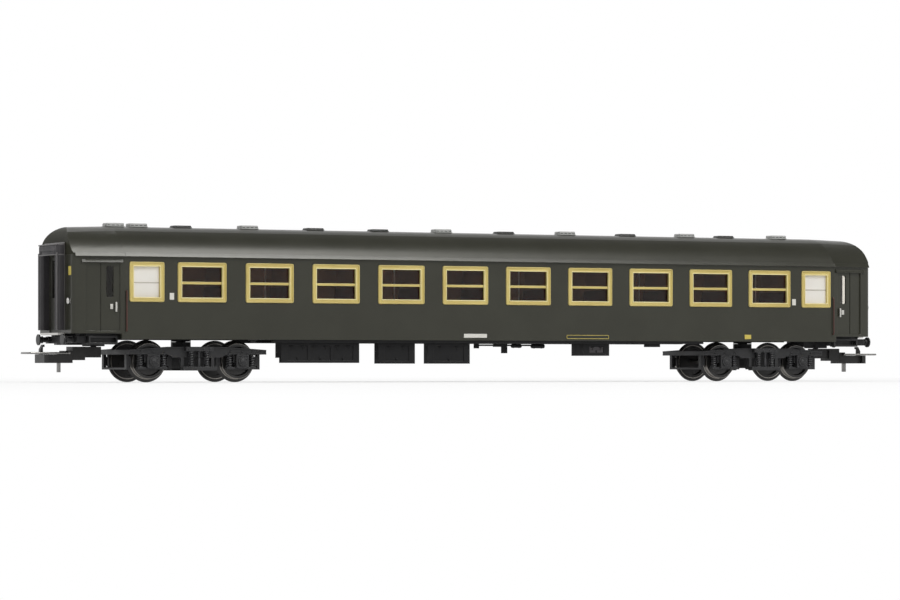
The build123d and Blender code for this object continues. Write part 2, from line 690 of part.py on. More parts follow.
for way in (-1, 1):
    link = way * (PLANK_WIDE / 2 - LINK_WIDE / 2)
    side += slab(link - LINK_WIDE / 2, link + LINK_WIDE / 2, -frame_out, -plank_in, PLANK_LOW, FRAME_LOW)
    for edge in (-1, 1):
        horn = way * WHEELBASE / 2 + edge * (BOX_WIDE + HORN_WIDE + 2 * SET_GAP) / 2
        side += slab(
            horn - HORN_WIDE / 2,
            horn + HORN_WIDE / 2,
            -FRAME_IN - FRAME_WIDE * 0.75,
            -FRAME_IN - FRAME_WIDE * 0.25,
            FRAME_LOW - HORN_HIGH,
            FRAME_LOW,
        )
bogie = side + other_side(side)
crossbar_low = FRAME_DIP + PLANK_THICK / 2
for way in (-1, 1):
    bogie += slab(way * beam_in, way * bogie_half, -FRAME_IN, FRAME_IN, FRAME_LOW, FRAME_END_TOP)
    bogie += block(way * CROSSBAR_X, CROSSBAR_WIDE, 0, 2 * FRAME_IN, crossbar_low, FRAME_TOP - LINK_THICK)
bogie += slab(-CROSSBAR_X, CROSSBAR_X, -PIVOT_BOSS_R, PIVOT_BOSS_R, FRAME_LOW, FRAME_TOP - LINK_THICK)
bogie += upright(0, 0, PIVOT_BOSS_R, FRAME_LOW, pivot_top)
web_half = CROSSBAR_X - LINK_THICK
web_y = FRAME_IN - LINK_WIDE
bogie += slab(-web_half, web_half, -web_y, web_y, BOX_LOW, FRAME_LOW)
bogie -= upright(0, 0, PIVOT_R + RUN_GAP, 0, floor_under)


# Axle boxes with spring seats, coil springs, dampers and brake shoes of one bogie
def coil(x, y, radius, low, high):
    """Standing coil spring as it is moulded, a round bar with a groove between its turns."""
    turns = max(1, round((high - low) / COIL_PITCH))
    pitch = (high - low) / turns
    outline = [(0, low), (radius - COIL_DEEP, low)]
    for turn in range(turns):
        foot = low + turn * pitch
        outline += [(radius, foot + pitch / 2), (radius - COIL_DEEP, foot + pitch)]
    outline.append((0, high))
    half = make_face(Polyline(*[(r, FLANGE_DEPTH + level) for r, level in outline], close=True))
    return Pos(x, y, 0) * revolve(Plane.XZ * half, Axis.Z)


axle_boxes = []
springs = []
brakes = []
box_out = frame_out + BOX_PROUD
spring_y = -(FRAME_IN + frame_out) / 2
plank_y = -(frame_out + bolster_out) / 2
for way in (-1, 1):
    x = way * WHEELBASE / 2
    case = slab(x - BOX_WIDE / 2, x + BOX_WIDE / 2, -box_out, -FRAME_IN, BOX_LOW, FRAME_LOW)
    case += slab(x - SEAT_REACH, x + SEAT_REACH, -frame_out, -FRAME_IN, seat_top - SEAT_THICK, seat_top)
    case += crossways(x, WHEEL_R, BOX_COVER_R, -box_out - BOX_COVER_OUT, -box_out)
    case -= crossways(x, WHEEL_R, JOURNAL_R + RUN_GAP, -journal_end - PIVOT_PLAY, 0)
    axle_boxes += both_sides(case)
    for off in (-SPRING_OFF, SPRING_OFF):
        springs += both_sides(coil(x + off, spring_y, SPRING_R, seat_top, FRAME_LOW))
    springs += both_sides(coil(way * BIG_SPRING_X, plank_y, BIG_SPRING_R, plank_top, bolster_low))
    for toward in (1, -1):
        out = way * toward
        tread = x + out * (WHEEL_R + SHOE_GAP)
        hang_a = tread + out * HANGER_OFF
        hang_b = hang_a + out * HANGER_THICK
        hang_top = FRAME_LOW if toward > 0 else crossbar_low
        shoe_low = WHEEL_R - SHOE_HALF_HIGH
        shoe_high = WHEEL_R + SHOE_HALF_HIGH
        shoe = slab(tread, tread + out * SHOE_DEEP, 0, SHOE_WIDE, shoe_low, shoe_high)
        shoe += slab(hang_a, hang_b, 0, SHOE_WIDE, BRAKE_BAR_LOW, hang_top)
        if toward < 0:
            shoe += slab(hang_a, way * CROSSBAR_X, 0, SHOE_WIDE, crossbar_low - BRAKE_BAR_THICK, crossbar_low)
        shoe = Pos(0, -SHOE_Y - SHOE_WIDE / 2, 0) * shoe
        rigging = shoe + other_side(shoe)
        rigging += slab(hang_a, hang_b, -SHOE_Y, SHOE_Y, BRAKE_BAR_LOW, BRAKE_BAR_LOW + BRAKE_BAR_THICK)
        brakes.append(rigging)
springs += both_sides(upright(0, plank_y, DAMPER_R, plank_top, bolster_low))
for name, end in (("left", -1), ("right", 1)):
    at = Pos(end * pivot_x, 0, 0)
    save(f"bogie_frame_{name}", [at * bogie])
    save(f"axle_boxes_{name}", [at * s for s in axle_boxes])
    save(f"bogie_springs_{name}", [at * s for s in springs])
    save(f"bogie_brakes_{name}", [at * s for s in brakes])

# Couplers: swinging drawbar with its pocket, the plug-in head and the lifting loop with its foot
pocket_x = coupler_x + DRAWBAR_LONG
drawbar_low = COUPLER_TOP - DRAWBAR_THICK
bar = slab(coupler_x - DRAWBAR_TAIL, pocket_x, -DRAWBAR_WIDE / 2, DRAWBAR_WIDE / 2, drawbar_low, COUPLER_TOP)
bar += slab(
    pocket_x - POCKET_LONG,
    pocket_x,
    -POCKET_WIDE / 2,
    POCKET_WIDE / 2,
    drawbar_low - POCKET_DEEP,
    COUPLER_TOP,
)
bar -= upright(coupler_x, 0, COUPLER_PIN_R + RUN_GAP, 0, floor_under)
head_x = pocket_x + HEAD_LONG
plate_x = head_x - HEAD_PLATE
loop_x = coupler_x + LOOP_PIVOT
foot_x = loop_x + FOOT_OFF
foot_room = (FOOT_WIDE + FOOT_THICK) / 2
head = slab(pocket_x, head_x, -HEAD_WIDE / 2, HEAD_WIDE / 2, HEAD_LOW, HEAD_HIGH)
head += slab(plate_x, head_x, -HEAD_PLATE_WIDE / 2, HEAD_PLATE_WIDE / 2, HEAD_LOW, HEAD_HIGH)
ear_top = LOOP_LEVEL + 2 * LOOP_PIN_R
head += slab(pocket_x, pocket_x + EAR_LONG, -HEAD_WIDE / 2, HEAD_WIDE / 2, HEAD_HIGH, ear_top)
hook_top = HEAD_HIGH + HOOK_HIGH
hook_x = plate_x + HOOK_LONG
hook = [(hook_x, HEAD_LOW), (hook_x, hook_top - HOOK_HIGH / 4), (plate_x, hook_top - HOOK_HIGH / 4)]
hook += [(plate_x, hook_top), (hook_x, hook_top), (head_x, hook_top - HOOK_HIGH / 2), (head_x, HEAD_LOW)]
head += side_profile(hook, -HOOK_WIDE / 2, HOOK_WIDE / 2)
head -= slab(foot_x - FOOT_THICK, foot_x + FOOT_SWING, -foot_room, foot_room, 0, HEAD_HIGH)
head -= crossways(loop_x, LOOP_LEVEL, LOOP_PIN_R + RUN_GAP, -HEAD_WIDE, HEAD_WIDE)
wire_low = LOOP_LEVEL - LOOP_WIRE / 2
wire_high = LOOP_LEVEL + LOOP_WIRE / 2
tip = loop_x + LOOP_LONG
inner_half = LOOP_WIDE / 2 - LOOP_WIRE
loop = slab(loop_x - LOOP_WIRE, tip, -LOOP_WIDE / 2, LOOP_WIDE / 2, wire_low, wire_high)
loop = fillet(loop.edges().filter_by(Axis.Z).sort_by(Axis.X)[-2:], LOOP_CORNER)
gap = slab(loop_x - 2 * LOOP_WIRE, tip - LOOP_WIRE, -inner_half, inner_half, 0, floor_under)
gap = fillet(gap.edges().filter_by(Axis.Z).sort_by(Axis.X)[-2:], LOOP_CORNER - LOOP_WIRE)
loop -= gap
loop += crossways(loop_x, LOOP_LEVEL, LOOP_PIN_R, -LOOP_WIDE / 2, LOOP_WIDE / 2)
loop += block(foot_x, FOOT_THICK, 0, LOOP_WIDE, wire_low, wire_high)
loop += block(foot_x, FOOT_THICK, 0, FOOT_WIDE, FOOT_LOW, wire_high)
for name, pieces in (("drawbar", bar), ("coupler_head", head), ("coupler_loop", loop)):
    save(f"{name}_right", [pieces])
    save(f"{name}_left", [other_end(pieces)])
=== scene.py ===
import math

import bmesh
import bpy
from mathutils import Matrix, Vector


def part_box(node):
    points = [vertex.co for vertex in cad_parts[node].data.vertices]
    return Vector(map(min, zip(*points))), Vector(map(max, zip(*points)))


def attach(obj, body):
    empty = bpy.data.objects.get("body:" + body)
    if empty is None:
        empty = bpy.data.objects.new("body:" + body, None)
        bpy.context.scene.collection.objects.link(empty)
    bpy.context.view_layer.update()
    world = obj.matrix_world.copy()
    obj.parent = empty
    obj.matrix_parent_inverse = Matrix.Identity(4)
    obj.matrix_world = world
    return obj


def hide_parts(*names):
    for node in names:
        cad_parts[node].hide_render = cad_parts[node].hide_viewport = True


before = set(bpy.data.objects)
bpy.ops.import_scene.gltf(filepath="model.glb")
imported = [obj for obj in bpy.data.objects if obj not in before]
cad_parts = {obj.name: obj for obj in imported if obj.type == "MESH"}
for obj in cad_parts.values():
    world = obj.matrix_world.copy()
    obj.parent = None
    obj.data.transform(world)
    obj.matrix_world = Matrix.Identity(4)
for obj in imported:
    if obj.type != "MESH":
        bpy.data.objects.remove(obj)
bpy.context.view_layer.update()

# Underframe: floor pan, solebars, headstocks, pivot posts and coupler guides are black dyed plastic, moulded
# with a fine matt skin and clipped up into the body. The blackened steel ballast plate lies on the floor.
MM = 0.001


def shade(red, green, blue):
    """Colour as it looks on a screen, 0 to 255, in the linear numbers that a shader takes."""
    return (*(((c / 255 + 0.055) / 1.055) ** 2.4 for c in (red, green, blue)), 1)


def blank_finish(name):
    """New material with its node tree, its links call and its main shader."""
    material = bpy.data.materials.new(name)
    material.use_nodes = True
    nodes = material.node_tree.nodes
    return material, nodes, material.node_tree.links.new, nodes["Principled BSDF"]


def grain(nodes, link, scale, detail=4.0):
    """Noise fixed to the piece, with this many grains to the metre."""
    place = nodes.new("ShaderNodeTexCoord")
    noise = nodes.new("ShaderNodeTexNoise")
    noise.inputs["Scale"].default_value = scale
    noise.inputs["Detail"].default_value = detail
    link(place.outputs["Object"], noise.inputs["Vector"])
    return noise.outputs["Fac"]


def between(nodes, link, source, low, high, start=0.3, stop=0.7):
    """Spreads a noise, or another value between start and stop, from one number to another."""
    spread = nodes.new("ShaderNodeMapRange")
    spread.inputs["From Min"].default_value = start
    spread.inputs["From Max"].default_value = stop
    spread.inputs["To Min"].default_value = low
    spread.inputs["To Max"].default_value = high
    link(source, spread.inputs["Value"])
    return spread.outputs["Result"]


def rubbed_and_highlit_edges(nodes, link, radius):
    """1 along the edges, painted paler as handling wear and as a painted highlight, and 0 on the flats."""
    soft = nodes.new("ShaderNodeBevel")
    soft.samples = 6
    soft.inputs["Radius"].default_value = radius
    flat = nodes.new("ShaderNodeNewGeometry")
    agree = nodes.new("ShaderNodeVectorMath")
    agree.operation = "DOT_PRODUCT"
    link(soft.outputs["Normal"], agree.inputs[0])
    link(flat.outputs["Normal"], agree.inputs[1])
    return between(nodes, link, agree.outputs["Value"], 1, 0, 0.75, 0.98), soft.outputs["Normal"]


def moulding(name, dark, pale, edge, rough, shine, skin):
    """Dyed or sprayed plastic: the tone drifts, the skin is grained and the edges are paler, as wear and as
    painted highlight.
    """
    material, nodes, link, shader = blank_finish(name)
    shader.inputs["Specular IOR Level"].default_value = shine
    drift = grain(nodes, link, 70)
    tone = nodes.new("ShaderNodeValToRGB")
    tone.color_ramp.elements[0].position = 0.35
    tone.color_ramp.elements[0].color = dark
    tone.color_ramp.elements[1].position = 0.65
    tone.color_ramp.elements[1].color = pale
    link(drift, tone.inputs["Fac"])
    rub_and_highlight, rounded = rubbed_and_highlit_edges(nodes, link, 0.14 * MM)
    worn_and_highlit = nodes.new("ShaderNodeMix")
    worn_and_highlit.data_type = "RGBA"
    link(rub_and_highlight, worn_and_highlit.inputs["Factor"])
    link(tone.outputs["Color"], worn_and_highlit.inputs[6])
    # The edge colour is painted along every edge: part rubbed wear, part painted highlight.
    worn_and_highlit.inputs[7].default_value = edge
    link(worn_and_highlit.outputs[2], shader.inputs["Base Color"])
    uneven = 0.2 * skin
    sheen = between(nodes, link, grain(nodes, link, 400), rough - uneven, rough + uneven)
    link(sheen, shader.inputs["Roughness"])
    bump = nodes.new("ShaderNodeBump")
    bump.inputs["Strength"].default_value = skin
    bump.inputs["Distance"].default_value = 0.02 * MM
    link(grain(nodes, link, 6000, 2.0), bump.inputs["Height"])
    link(rounded, bump.inputs["Normal"])
    link(bump.outputs["Normal"], shader.inputs["Normal"])
    return material


def dress(material, *names):
    """Puts a finish on CAD nodes."""
    for name in names:
        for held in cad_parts[name].material_slots:
            held.material = material


underframe_black = moulding(
    "underframe_black", shade(22, 22, 23), shade(29, 29, 30), shade(56, 56, 56), 0.5, 0.25, 0.25
)
dress(underframe_black, "floor_pan", "solebars", "headstocks")
dress(underframe_black, "pivot_posts", "coupler_guides", "ballast_plate")


# Buffers and door steps: black plastic, plugged into the headstocks and under the floor. The treads have a
# raised non-slip pattern of ribs, and each buffer plunger has a collar behind its head.
def solids(node):
    """Lowest and highest corner of each separate solid in a CAD node."""
    mesh = bmesh.new()
    mesh.from_mesh(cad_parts[node].data)
    bmesh.ops.remove_doubles(mesh, verts=mesh.verts, dist=0.001 * MM)
    left = set(mesh.verts)
    found = []
    while left:
        group = [left.pop()]
        for vert in group:
            for edge in vert.link_edges:
                other = edge.other_vert(vert)
                if other in left:
                    left.remove(other)
                    group.append(other)
        low = Vector(min(v.co[axis] for v in group) for axis in range(3))
        high = Vector(max(v.co[axis] for v in group) for axis in range(3))
        found.append((low, high))
    mesh.free()
    return sorted(found, key=lambda corners: tuple(corners[0]))


def block(mesh, low, high, rounding):
    """Adds a block with rounded edges between two corners."""
    low, high = Vector(low), Vector(high)
    middle = Matrix.Translation((low + high) / 2)
    spans = Matrix.Diagonal((*(abs(s) for s in high - low), 1))
    made = bmesh.ops.create_cube(mesh, size=1, matrix=middle @ spans)
    edges = list({edge for vert in made["verts"] for edge in vert.link_edges})
    bmesh.ops.bevel(
        mesh,
        geom=edges,
        offset=rounding,
        affect="EDGES",
        segments=2,
        profile=0.5,
        material=-1,
        clamp_overlap=True,
    )


def rod(mesh, start, end, radius, sides=16, chamfer=0.0):
    """Adds a round bar between two points, its ends chamfered where asked."""
    start, end = Vector(start), Vector(end)
    way = end - start
    place = Matrix.Translation((start + end) / 2) @ way.to_track_quat("Z", "Y").to_matrix().to_4x4()
    made = bmesh.ops.create_cone(
        mesh, cap_ends=True, segments=sides, radius1=radius, radius2=radius, depth=way.length, matrix=place
    )
    if chamfer:
        faces = {face for vert in made["verts"] for face in vert.link_faces if len(face.verts) > 4}
        rims = list({edge for face in faces for edge in face.edges})
        bmesh.ops.bevel(mesh, geom=rims, offset=chamfer, affect="EDGES", segments=2, profile=0.5, material=-1)


def fit(name, mesh, material, body):
    """Makes a finished mesh a piece of the coach that rides on a body."""
    bmesh.ops.recalc_face_normals(mesh, faces=mesh.faces)
    data = bpy.data.meshes.new(name)
    mesh.to_mesh(data)
    mesh.free()
    data.materials.append(material)
    made = bpy.data.objects.new(name, data)
    bpy.context.scene.collection.objects.link(made)
    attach(made, body)
    return made


def soften(made, angle=40):
    """Shades the round faces smooth and keeps the sharp edges."""
    data = made.data
    data.shade_smooth()
    data.set_sharp_from_angle(angle=math.radians(angle))


buffer_black = moulding(
    "buffer_black", shade(30, 30, 31), shade(37, 37, 38), shade(78, 76, 74), 0.42, 0.35, 0.2
)
dress(buffer_black, "buffers_left", "buffers_right", "door_steps")
TREAD_RIBS = 4
mesh = bmesh.new()
for low, high in solids("door_steps"):
    outer = low.y if low.y < 0 else high.y
    inward = -1 if outer > 0 else 1
    for tread in (low.z + 0.5 * MM, low.z + 2.5 * MM):
        for rib in range(TREAD_RIBS):
            y = outer + inward * (0.3 + 0.5 * rib) * MM
            start = (low.x + 0.7 * MM, y - 0.1 * MM, tread)
            block(mesh, start, (high.x - 0.7 * MM, y + 0.1 * MM, tread + 0.12 * MM), 0.04 * MM)
fit("step_ribs", mesh, buffer_black, "coach")
mesh = bmesh.new()
for node, way in (("buffers_left", -1), ("buffers_right", 1)):
    for low, high in solids(node):
        level = (low.z + high.z) / 2
        y = (low.y + high.y) / 2
        collar = (high.x if way > 0 else low.x) - way * 1.5 * MM
        rod(mesh, (collar, y, level), (collar + way * 0.35 * MM, y, level), 1.1 * MM, 24, 0.08 * MM)
soften(fit("buffer_collars", mesh, buffer_black, "coach"))

# Boxes under the floor: battery and equipment cases of black plastic with sunk lids, one of them a paler
# grey. Each lid hangs on two hinge barrels along its top and is held by a turn latch at its foot.
box_black = moulding("box_black", shade(19, 19, 20), shade(26, 26, 27), shade(52, 51, 52), 0.55, 0.2, 0.3)
dress(box_black, "battery_boxes", "equipment_boxes")
LID_LEAST = 8.0 * MM
LID_BORDER = 0.8 * MM
LID_SUNK = 0.25 * MM
PALE_LID = 35.0 * MM
mesh = bmesh.new()
lids_pale = bmesh.new()
for node in ("battery_boxes", "equipment_boxes"):
    for low, high in solids(node):
        near = low.y < 0
        face = low.y if near else high.y
        out = -1 if near else 1
        lids = int((high.x - low.x) / LID_LEAST)
        for lid in range(lids):
            pitch = (high.x - low.x - 4 * LID_BORDER) / lids
            left = low.x + 2 * LID_BORDER + lid * pitch + LID_BORDER / 2
            right = left + pitch - LID_BORDER
            top = high.z - LID_BORDER
            foot = low.z + LID_BORDER
            panel = face - out * LID_SUNK
            if near and left < PALE_LID < right:
                inset = 0.15 * MM
                plate = (left + inset, panel - out * 0.05 * MM, foot + inset)
                block(lids_pale, plate, (right - inset, panel + out * 0.1 * MM, top - inset), 0.04 * MM)
            for hinge in (left + 0.22 * (right - left), right - 0.22 * (right - left)):
                spot = (panel + out * 0.14 * MM, top - 0.25 * MM)
                rod(mesh, (hinge - 0.55 * MM, *spot), (hinge + 0.55 * MM, *spot), 0.2 * MM, 12, 0.05 * MM)
                strap = (hinge - 0.16 * MM, panel - out * 0.05 * MM, top - 1.3 * MM)
                block(mesh, strap, (hinge + 0.16 * MM, panel + out * 0.1 * MM, top - 0.2 * MM), 0.03 * MM)
            middle = (left + right) / 2
            latch = foot + 0.7 * MM
            root = (middle, panel - out * 0.05 * MM, latch)
            stud = (middle, panel + out * 0.2 * MM, latch)
            rod(mesh, root, stud, 0.32 * MM, 14, 0.05 * MM)
            block(
                mesh,
                (middle - 0.09 * MM, panel, latch - 0.5 * MM),
                (middle + 0.09 * MM, panel + out * 0.32 * MM, latch + 0.28 * MM),
                0.03 * MM,
            )
soften(fit("box_hinges", mesh, box_black, "coach"))
lid_grey = moulding("lid_grey", shade(57, 54, 56), shade(66, 63, 65), shade(84, 81, 83), 0.5, 0.3, 0.25)
fit("pale_lid", lids_pale, lid_grey, "coach")

# Brake gear: a pull rod with levers and two small cylinders under the spine, in the same black. Each
# cylinder is held by two clamped bands.
dress(underframe_black, "brake_gear")
BRAKE_Y = -1.0 * MM
SMALL_CYLINDER = (13.19, 16.79, 11.2, 0.6)
LARGE_CYLINDER = (20.31, 24.99, 11.17, 0.7)
mesh = bmesh.new()
for start, stop, level, radius in (SMALL_CYLINDER, LARGE_CYLINDER):
    for share in (0.22, 0.78):
        x = (start + share * (stop - start)) * MM
        spot = (BRAKE_Y, level * MM)
        rod(mesh, (x - 0.2 * MM, *spot), (x + 0.2 * MM, *spot), (radius + 0.07) * MM, 20, 0.04 * MM)
soften(fit("cylinder_bands", mesh, underframe_black, "coach"))

# Wheelsets: turned and blackened wheels, their treads rubbed bright by the rails, pressed on a steel axle
# with thin journals that run in the axle boxes.
TREAD = 5.3 * MM


def radius_from(nodes, link, centre):
    """Distance from a wheelset's turning axis, which lies across the coach."""
    place = nodes.new("ShaderNodeTexCoord")
    moved = nodes.new("ShaderNodeVectorMath")
    moved.operation = "SUBTRACT"
    moved.inputs[1].default_value = centre
    flat = nodes.new("ShaderNodeVectorMath")
    flat.operation = "MULTIPLY"
    flat.inputs[1].default_value = (1, 0, 1)
    span = nodes.new("ShaderNodeVectorMath")
    span.operation = "LENGTH"
    link(place.outputs["Object"], moved.inputs[0])
    link(moved.outputs["Vector"], flat.inputs[0])
    link(flat.outputs["Vector"], span.inputs[0])
    return span.outputs["Value"]


def turned_wheel(name, centre):
    """Blackened metal with rings left by the tool, and bright on the tread alone."""
    material, nodes, link, shader = blank_finish(name)
    radius = radius_from(nodes, link, centre)
    rings = nodes.new("ShaderNodeMath")
    rings.operation = "SINE"
    pitch = nodes.new("ShaderNodeMath")
    pitch.operation = "MULTIPLY"
    pitch.inputs[1].default_value = 2 * math.pi / (0.16 * MM)
    link(radius, pitch.inputs[0])
    link(pitch.outputs["Value"], rings.inputs[0])
    off = nodes.new("ShaderNodeMath")
    off.operation = "SUBTRACT"
    off.inputs[1].default_value = TREAD
    link(radius, off.inputs[0])
    away = nodes.new("ShaderNodeMath")
    away.operation = "ABSOLUTE"
    link(off.outputs["Value"], away.inputs[0])
    tyre = between(nodes, link, away.outputs["Value"], 1, 0, 0.06 * MM, 0.16 * MM)
    tone = nodes.new("ShaderNodeMix")
    tone.data_type = "RGBA"
    link(tyre, tone.inputs["Factor"])
    tone.inputs[6].default_value = shade(38, 37, 36)
    tone.inputs[7].default_value = shade(170, 166, 160)
    link(tone.outputs[2], shader.inputs["Base Color"])
    link(tyre, shader.inputs["Metallic"])
    handled = between(nodes, link, grain(nodes, link, 900), 0.26, 0.42)
    link(handled, shader.inputs["Roughness"])
    bump = nodes.new("ShaderNodeBump")
    bump.inputs["Strength"].default_value = 0.12
    bump.inputs["Distance"].default_value = 0.01 * MM
    link(rings.outputs["Value"], bump.inputs["Height"])
    link(bump.outputs["Normal"], shader.inputs["Normal"])
    return material


def drawn_steel(name, colour, rough):
    """Drawn or rolled steel: bright, with fine scratches and a slightly uneven shine."""
    material, nodes, link, shader = blank_finish(name)
    shader.inputs["Metallic"].default_value = 1
    tone = nodes.new("ShaderNodeValToRGB")
    tone.color_ramp.elements[0].color = tuple(0.75 * c for c in colour[:3]) + (1,)
    tone.color_ramp.elements[1].color = colour
    link(grain(nodes, link, 1500), tone.inputs["Fac"])
    link(tone.outputs["Color"], shader.inputs["Base Color"])
    sheen = between(nodes, link, grain(nodes, link, 700), rough - 0.08, rough + 0.08)
    link(sheen, shader.inputs["Roughness"])
    bump = nodes.new("ShaderNodeBump")
    bump.inputs["Strength"].default_value = 0.1
    bump.inputs["Distance"].default_value = 0.01 * MM
    link(grain(nodes, link, 9000), bump.inputs["Height"])
    link(bump.outputs["Normal"], shader.inputs["Normal"])
    return material


axle_steel = drawn_steel("axle_steel", shade(150, 147, 143), 0.35)
axle_middle = {}
for number in range(1, 5):
    low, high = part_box(f"axle_{number}")
    axle_middle[number] = (low + high) / 2
    dress(turned_wheel(f"turned_wheel_{number}", axle_middle[number]), f"wheels_{number}")
    dress(axle_steel, f"axle_{number}")

# Bogies: a black plastic frame with a cranked side beam, flanged along its edges and bolted at the springs,
# axle boxes with bolted covers, helical springs in cups, and brake blocks hung at the wheels.
bogie_black = moulding(
    "bogie_black", shade(43, 43, 44), shade(51, 51, 52), shade(88, 88, 90), 0.46, 0.3, 0.25
)
spring_black = moulding(
    "spring_black", shade(40, 40, 42), shade(50, 50, 52), shade(92, 92, 94), 0.38, 0.4, 0.1
)
FRAME_FACE = 13.0 * MM
BEAM_TOP = 10.6 * MM
BEAM_END_TOP = 9.7 * MM
BEAM_FLAT = 9.0 * MM
BEAM_END = 22.3 * MM
BEAM_LOW = 8.3 * MM
SPRING_OFF = 3.7 * MM
COIL_LEAST = 0.7 * MM
COIL_WIRE = 0.26 * MM
COIL_PITCH = 0.8 * MM


def bolt(mesh, spot, out, radius, proud):
    """Adds a hexagon bolt head on a washer, standing out along Y."""
    spot = Vector(spot)
    way = Vector((0, out, 0))
    rod(mesh, spot - way * proud * 0.2, spot + way * proud * 0.35, radius * 1.35, 12)
    rod(mesh, spot, spot + way * proud, radius, 6, radius * 0.15)


def strap(mesh, start, end, wide, deep, rounding):
    """Adds a flat bar from point to point in the plane of the coach's side."""
    start, end = Vector(start), Vector(end)
    way = end - start
    lean = Matrix.Rotation(-math.atan2(way.z, way.x), 4, "Y")
    place = Matrix.Translation((start + end) / 2) @ lean @ Matrix.Diagonal((way.length, deep, wide, 1))
    made = bmesh.ops.create_cube(mesh, size=1, matrix=place)
    edges = list({edge for vert in made["verts"] for edge in vert.link_edges})
    bmesh.ops.bevel(mesh, geom=edges, offset=rounding, affect="EDGES", segments=1, profile=0.5, material=-1)


def coil(mesh, middle, foot, top, radius, wire, turns):
    """Adds a standing helical spring, its wire spun round the spring's own axis."""
    steps = int(14 * turns)
    ring = bmesh.ops.create_circle(mesh, segments=8, radius=wire)
    lean = Matrix.Rotation(math.radians(90), 4, "X")
    place = Matrix.Translation((middle[0] + radius - wire, middle[1], foot + wire))
    bmesh.ops.transform(mesh, matrix=place @ lean, verts=ring["verts"])
    edges = list({edge for vert in ring["verts"] for edge in vert.link_edges})
    bmesh.ops.spin(
        mesh,
        geom=ring["verts"] + edges,
        cent=(middle[0], middle[1], 0),
        axis=(0, 0, 1),
        dvec=(0, 0, (top - foot - 2 * wire) / steps),
        angle=2 * math.pi * turns,
        steps=steps,
    )
    ends = [edge for edge in mesh.edges if edge.is_boundary]
    bmesh.ops.holes_fill(mesh, edges=ends, sides=8)


for end in ("left", "right"):
    body = f"bogie_{end}"
    dress(bogie_black, f"bogie_frame_{end}", f"axle_boxes_{end}", f"bogie_brakes_{end}")
    low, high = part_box(f"bogie_frame_{end}")
    pivot = (low.x + high.x) / 2
    axles = [axle_middle[n] for n in ((1, 2) if end == "left" else (3, 4))]

    mesh = bmesh.new()
    for out in (-1, 1):
        y = out * (FRAME_FACE + 0.1 * MM)
        rim = 0.45 * MM
        start = (pivot - BEAM_FLAT, y, BEAM_TOP - rim / 2)
        strap(mesh, start, (pivot + BEAM_FLAT, y, BEAM_TOP - rim / 2), rim, 0.4 * MM, 0.06 * MM)
        for way in (-1, 1):
            inner = (pivot + way * BEAM_FLAT, y, BEAM_TOP - rim / 2)
            outer = (pivot + way * BEAM_END, y, BEAM_END_TOP - rim / 2)
            strap(mesh, *sorted((inner, outer)), rim, 0.4 * MM, 0.06 * MM)
            foot_in = (pivot + way * (BEAM_FLAT + MM), y, BEAM_LOW + rim / 2)
            foot_out = (pivot + way * BEAM_END, y, BEAM_LOW + rim / 2)
            strap(mesh, *sorted((foot_in, foot_out)), rim, 0.4 * MM, 0.06 * MM)
            block(
                mesh,
                (pivot + way * (BEAM_END - 0.5 * MM), out * FRAME_FACE, BEAM_LOW),
                (pivot + way * BEAM_END, y + out * 0.1 * MM, BEAM_END_TOP),
                0.06 * MM,
            )
        for axle in axles:
            for off in (-SPRING_OFF, 0, SPRING_OFF):
                bolt(mesh, (axle.x + off, out * FRAME_FACE, BEAM_LOW + 0.85 * MM), out, 0.3 * MM, 0.28 * MM)
        for off in (-3.4, -1.2, 1.2, 3.4):
            spot = (pivot + off * MM, high.y if out > 0 else low.y, BEAM_TOP - 0.65 * MM)
            bolt(mesh, spot, out, 0.26 * MM, 0.22 * MM)
    soften(fit(f"beam_flanges_{end}", mesh, bogie_black, body))

    mesh = bmesh.new()
    for low, high in solids(f"axle_boxes_{end}"):
        near = low.y < 0
        out = -1 if near else 1
        cover = low.y if near else high.y
        case = cover - out * 0.4 * MM
        axle = min(axles, key=lambda a: abs(a.x - (low.x + high.x) / 2))
        cap = (axle.x, cover + out * 0.14 * MM, axle.z)
        rod(mesh, (axle.x, cover - out * 0.1 * MM, axle.z), cap, 0.95 * MM, 24, 0.08 * MM)
        bolt(mesh, cap, out, 0.34 * MM, 0.16 * MM)
        for turn in range(6):
            angle = math.radians(60 * turn + 30)
            spot = (axle.x + 1.2 * MM * math.cos(angle), cover, axle.z + 1.2 * MM * math.sin(angle))
            bolt(mesh, spot, out, 0.13 * MM, 0.12 * MM)
        for x in (-1.65, 1.65):
            for z in (-1.65, 1.55):
                bolt(mesh, (axle.x + x * MM, case, axle.z + z * MM), out, 0.2 * MM, 0.18 * MM)
        rib = case + out * 0.22 * MM
        block(mesh, (axle.x - 2 * MM, case, high.z - 0.45 * MM), (axle.x + 2 * MM, rib, high.z), 0.06 * MM)
    soften(fit(f"axle_box_covers_{end}", mesh, bogie_black, body))

    mesh = bmesh.new()
    for low, high in solids(f"bogie_springs_{end}"):
        middle = ((low.x + high.x) / 2, (low.y + high.y) / 2)
        radius = (high.x - low.x) / 2
        if radius > COIL_LEAST:
            coil(mesh, middle, low.z, high.z, radius, COIL_WIRE, (high.z - low.z) / COIL_PITCH)
            rod(mesh, (*middle, low.z), (*middle, high.z), radius - 0.55 * MM, 12)
            for cup in (low.z, high.z - 0.3 * MM):
                rod(mesh, (*middle, cup), (*middle, cup + 0.3 * MM), radius, 20, 0.06 * MM)
        else:
            waist = low.z + 0.55 * (high.z - low.z)
            rod(mesh, (*middle, low.z), (*middle, waist), radius, 16, 0.08 * MM)
            rod(mesh, (*middle, waist), (*middle, high.z), radius * 0.6, 12)
            rod(mesh, (*middle, high.z - 0.5 * MM), (*middle, high.z), radius, 16, 0.08 * MM)
    made = fit(f"coil_springs_{end}", mesh, spring_black, body)
    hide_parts(f"bogie_springs_{end}")
    soften(made)

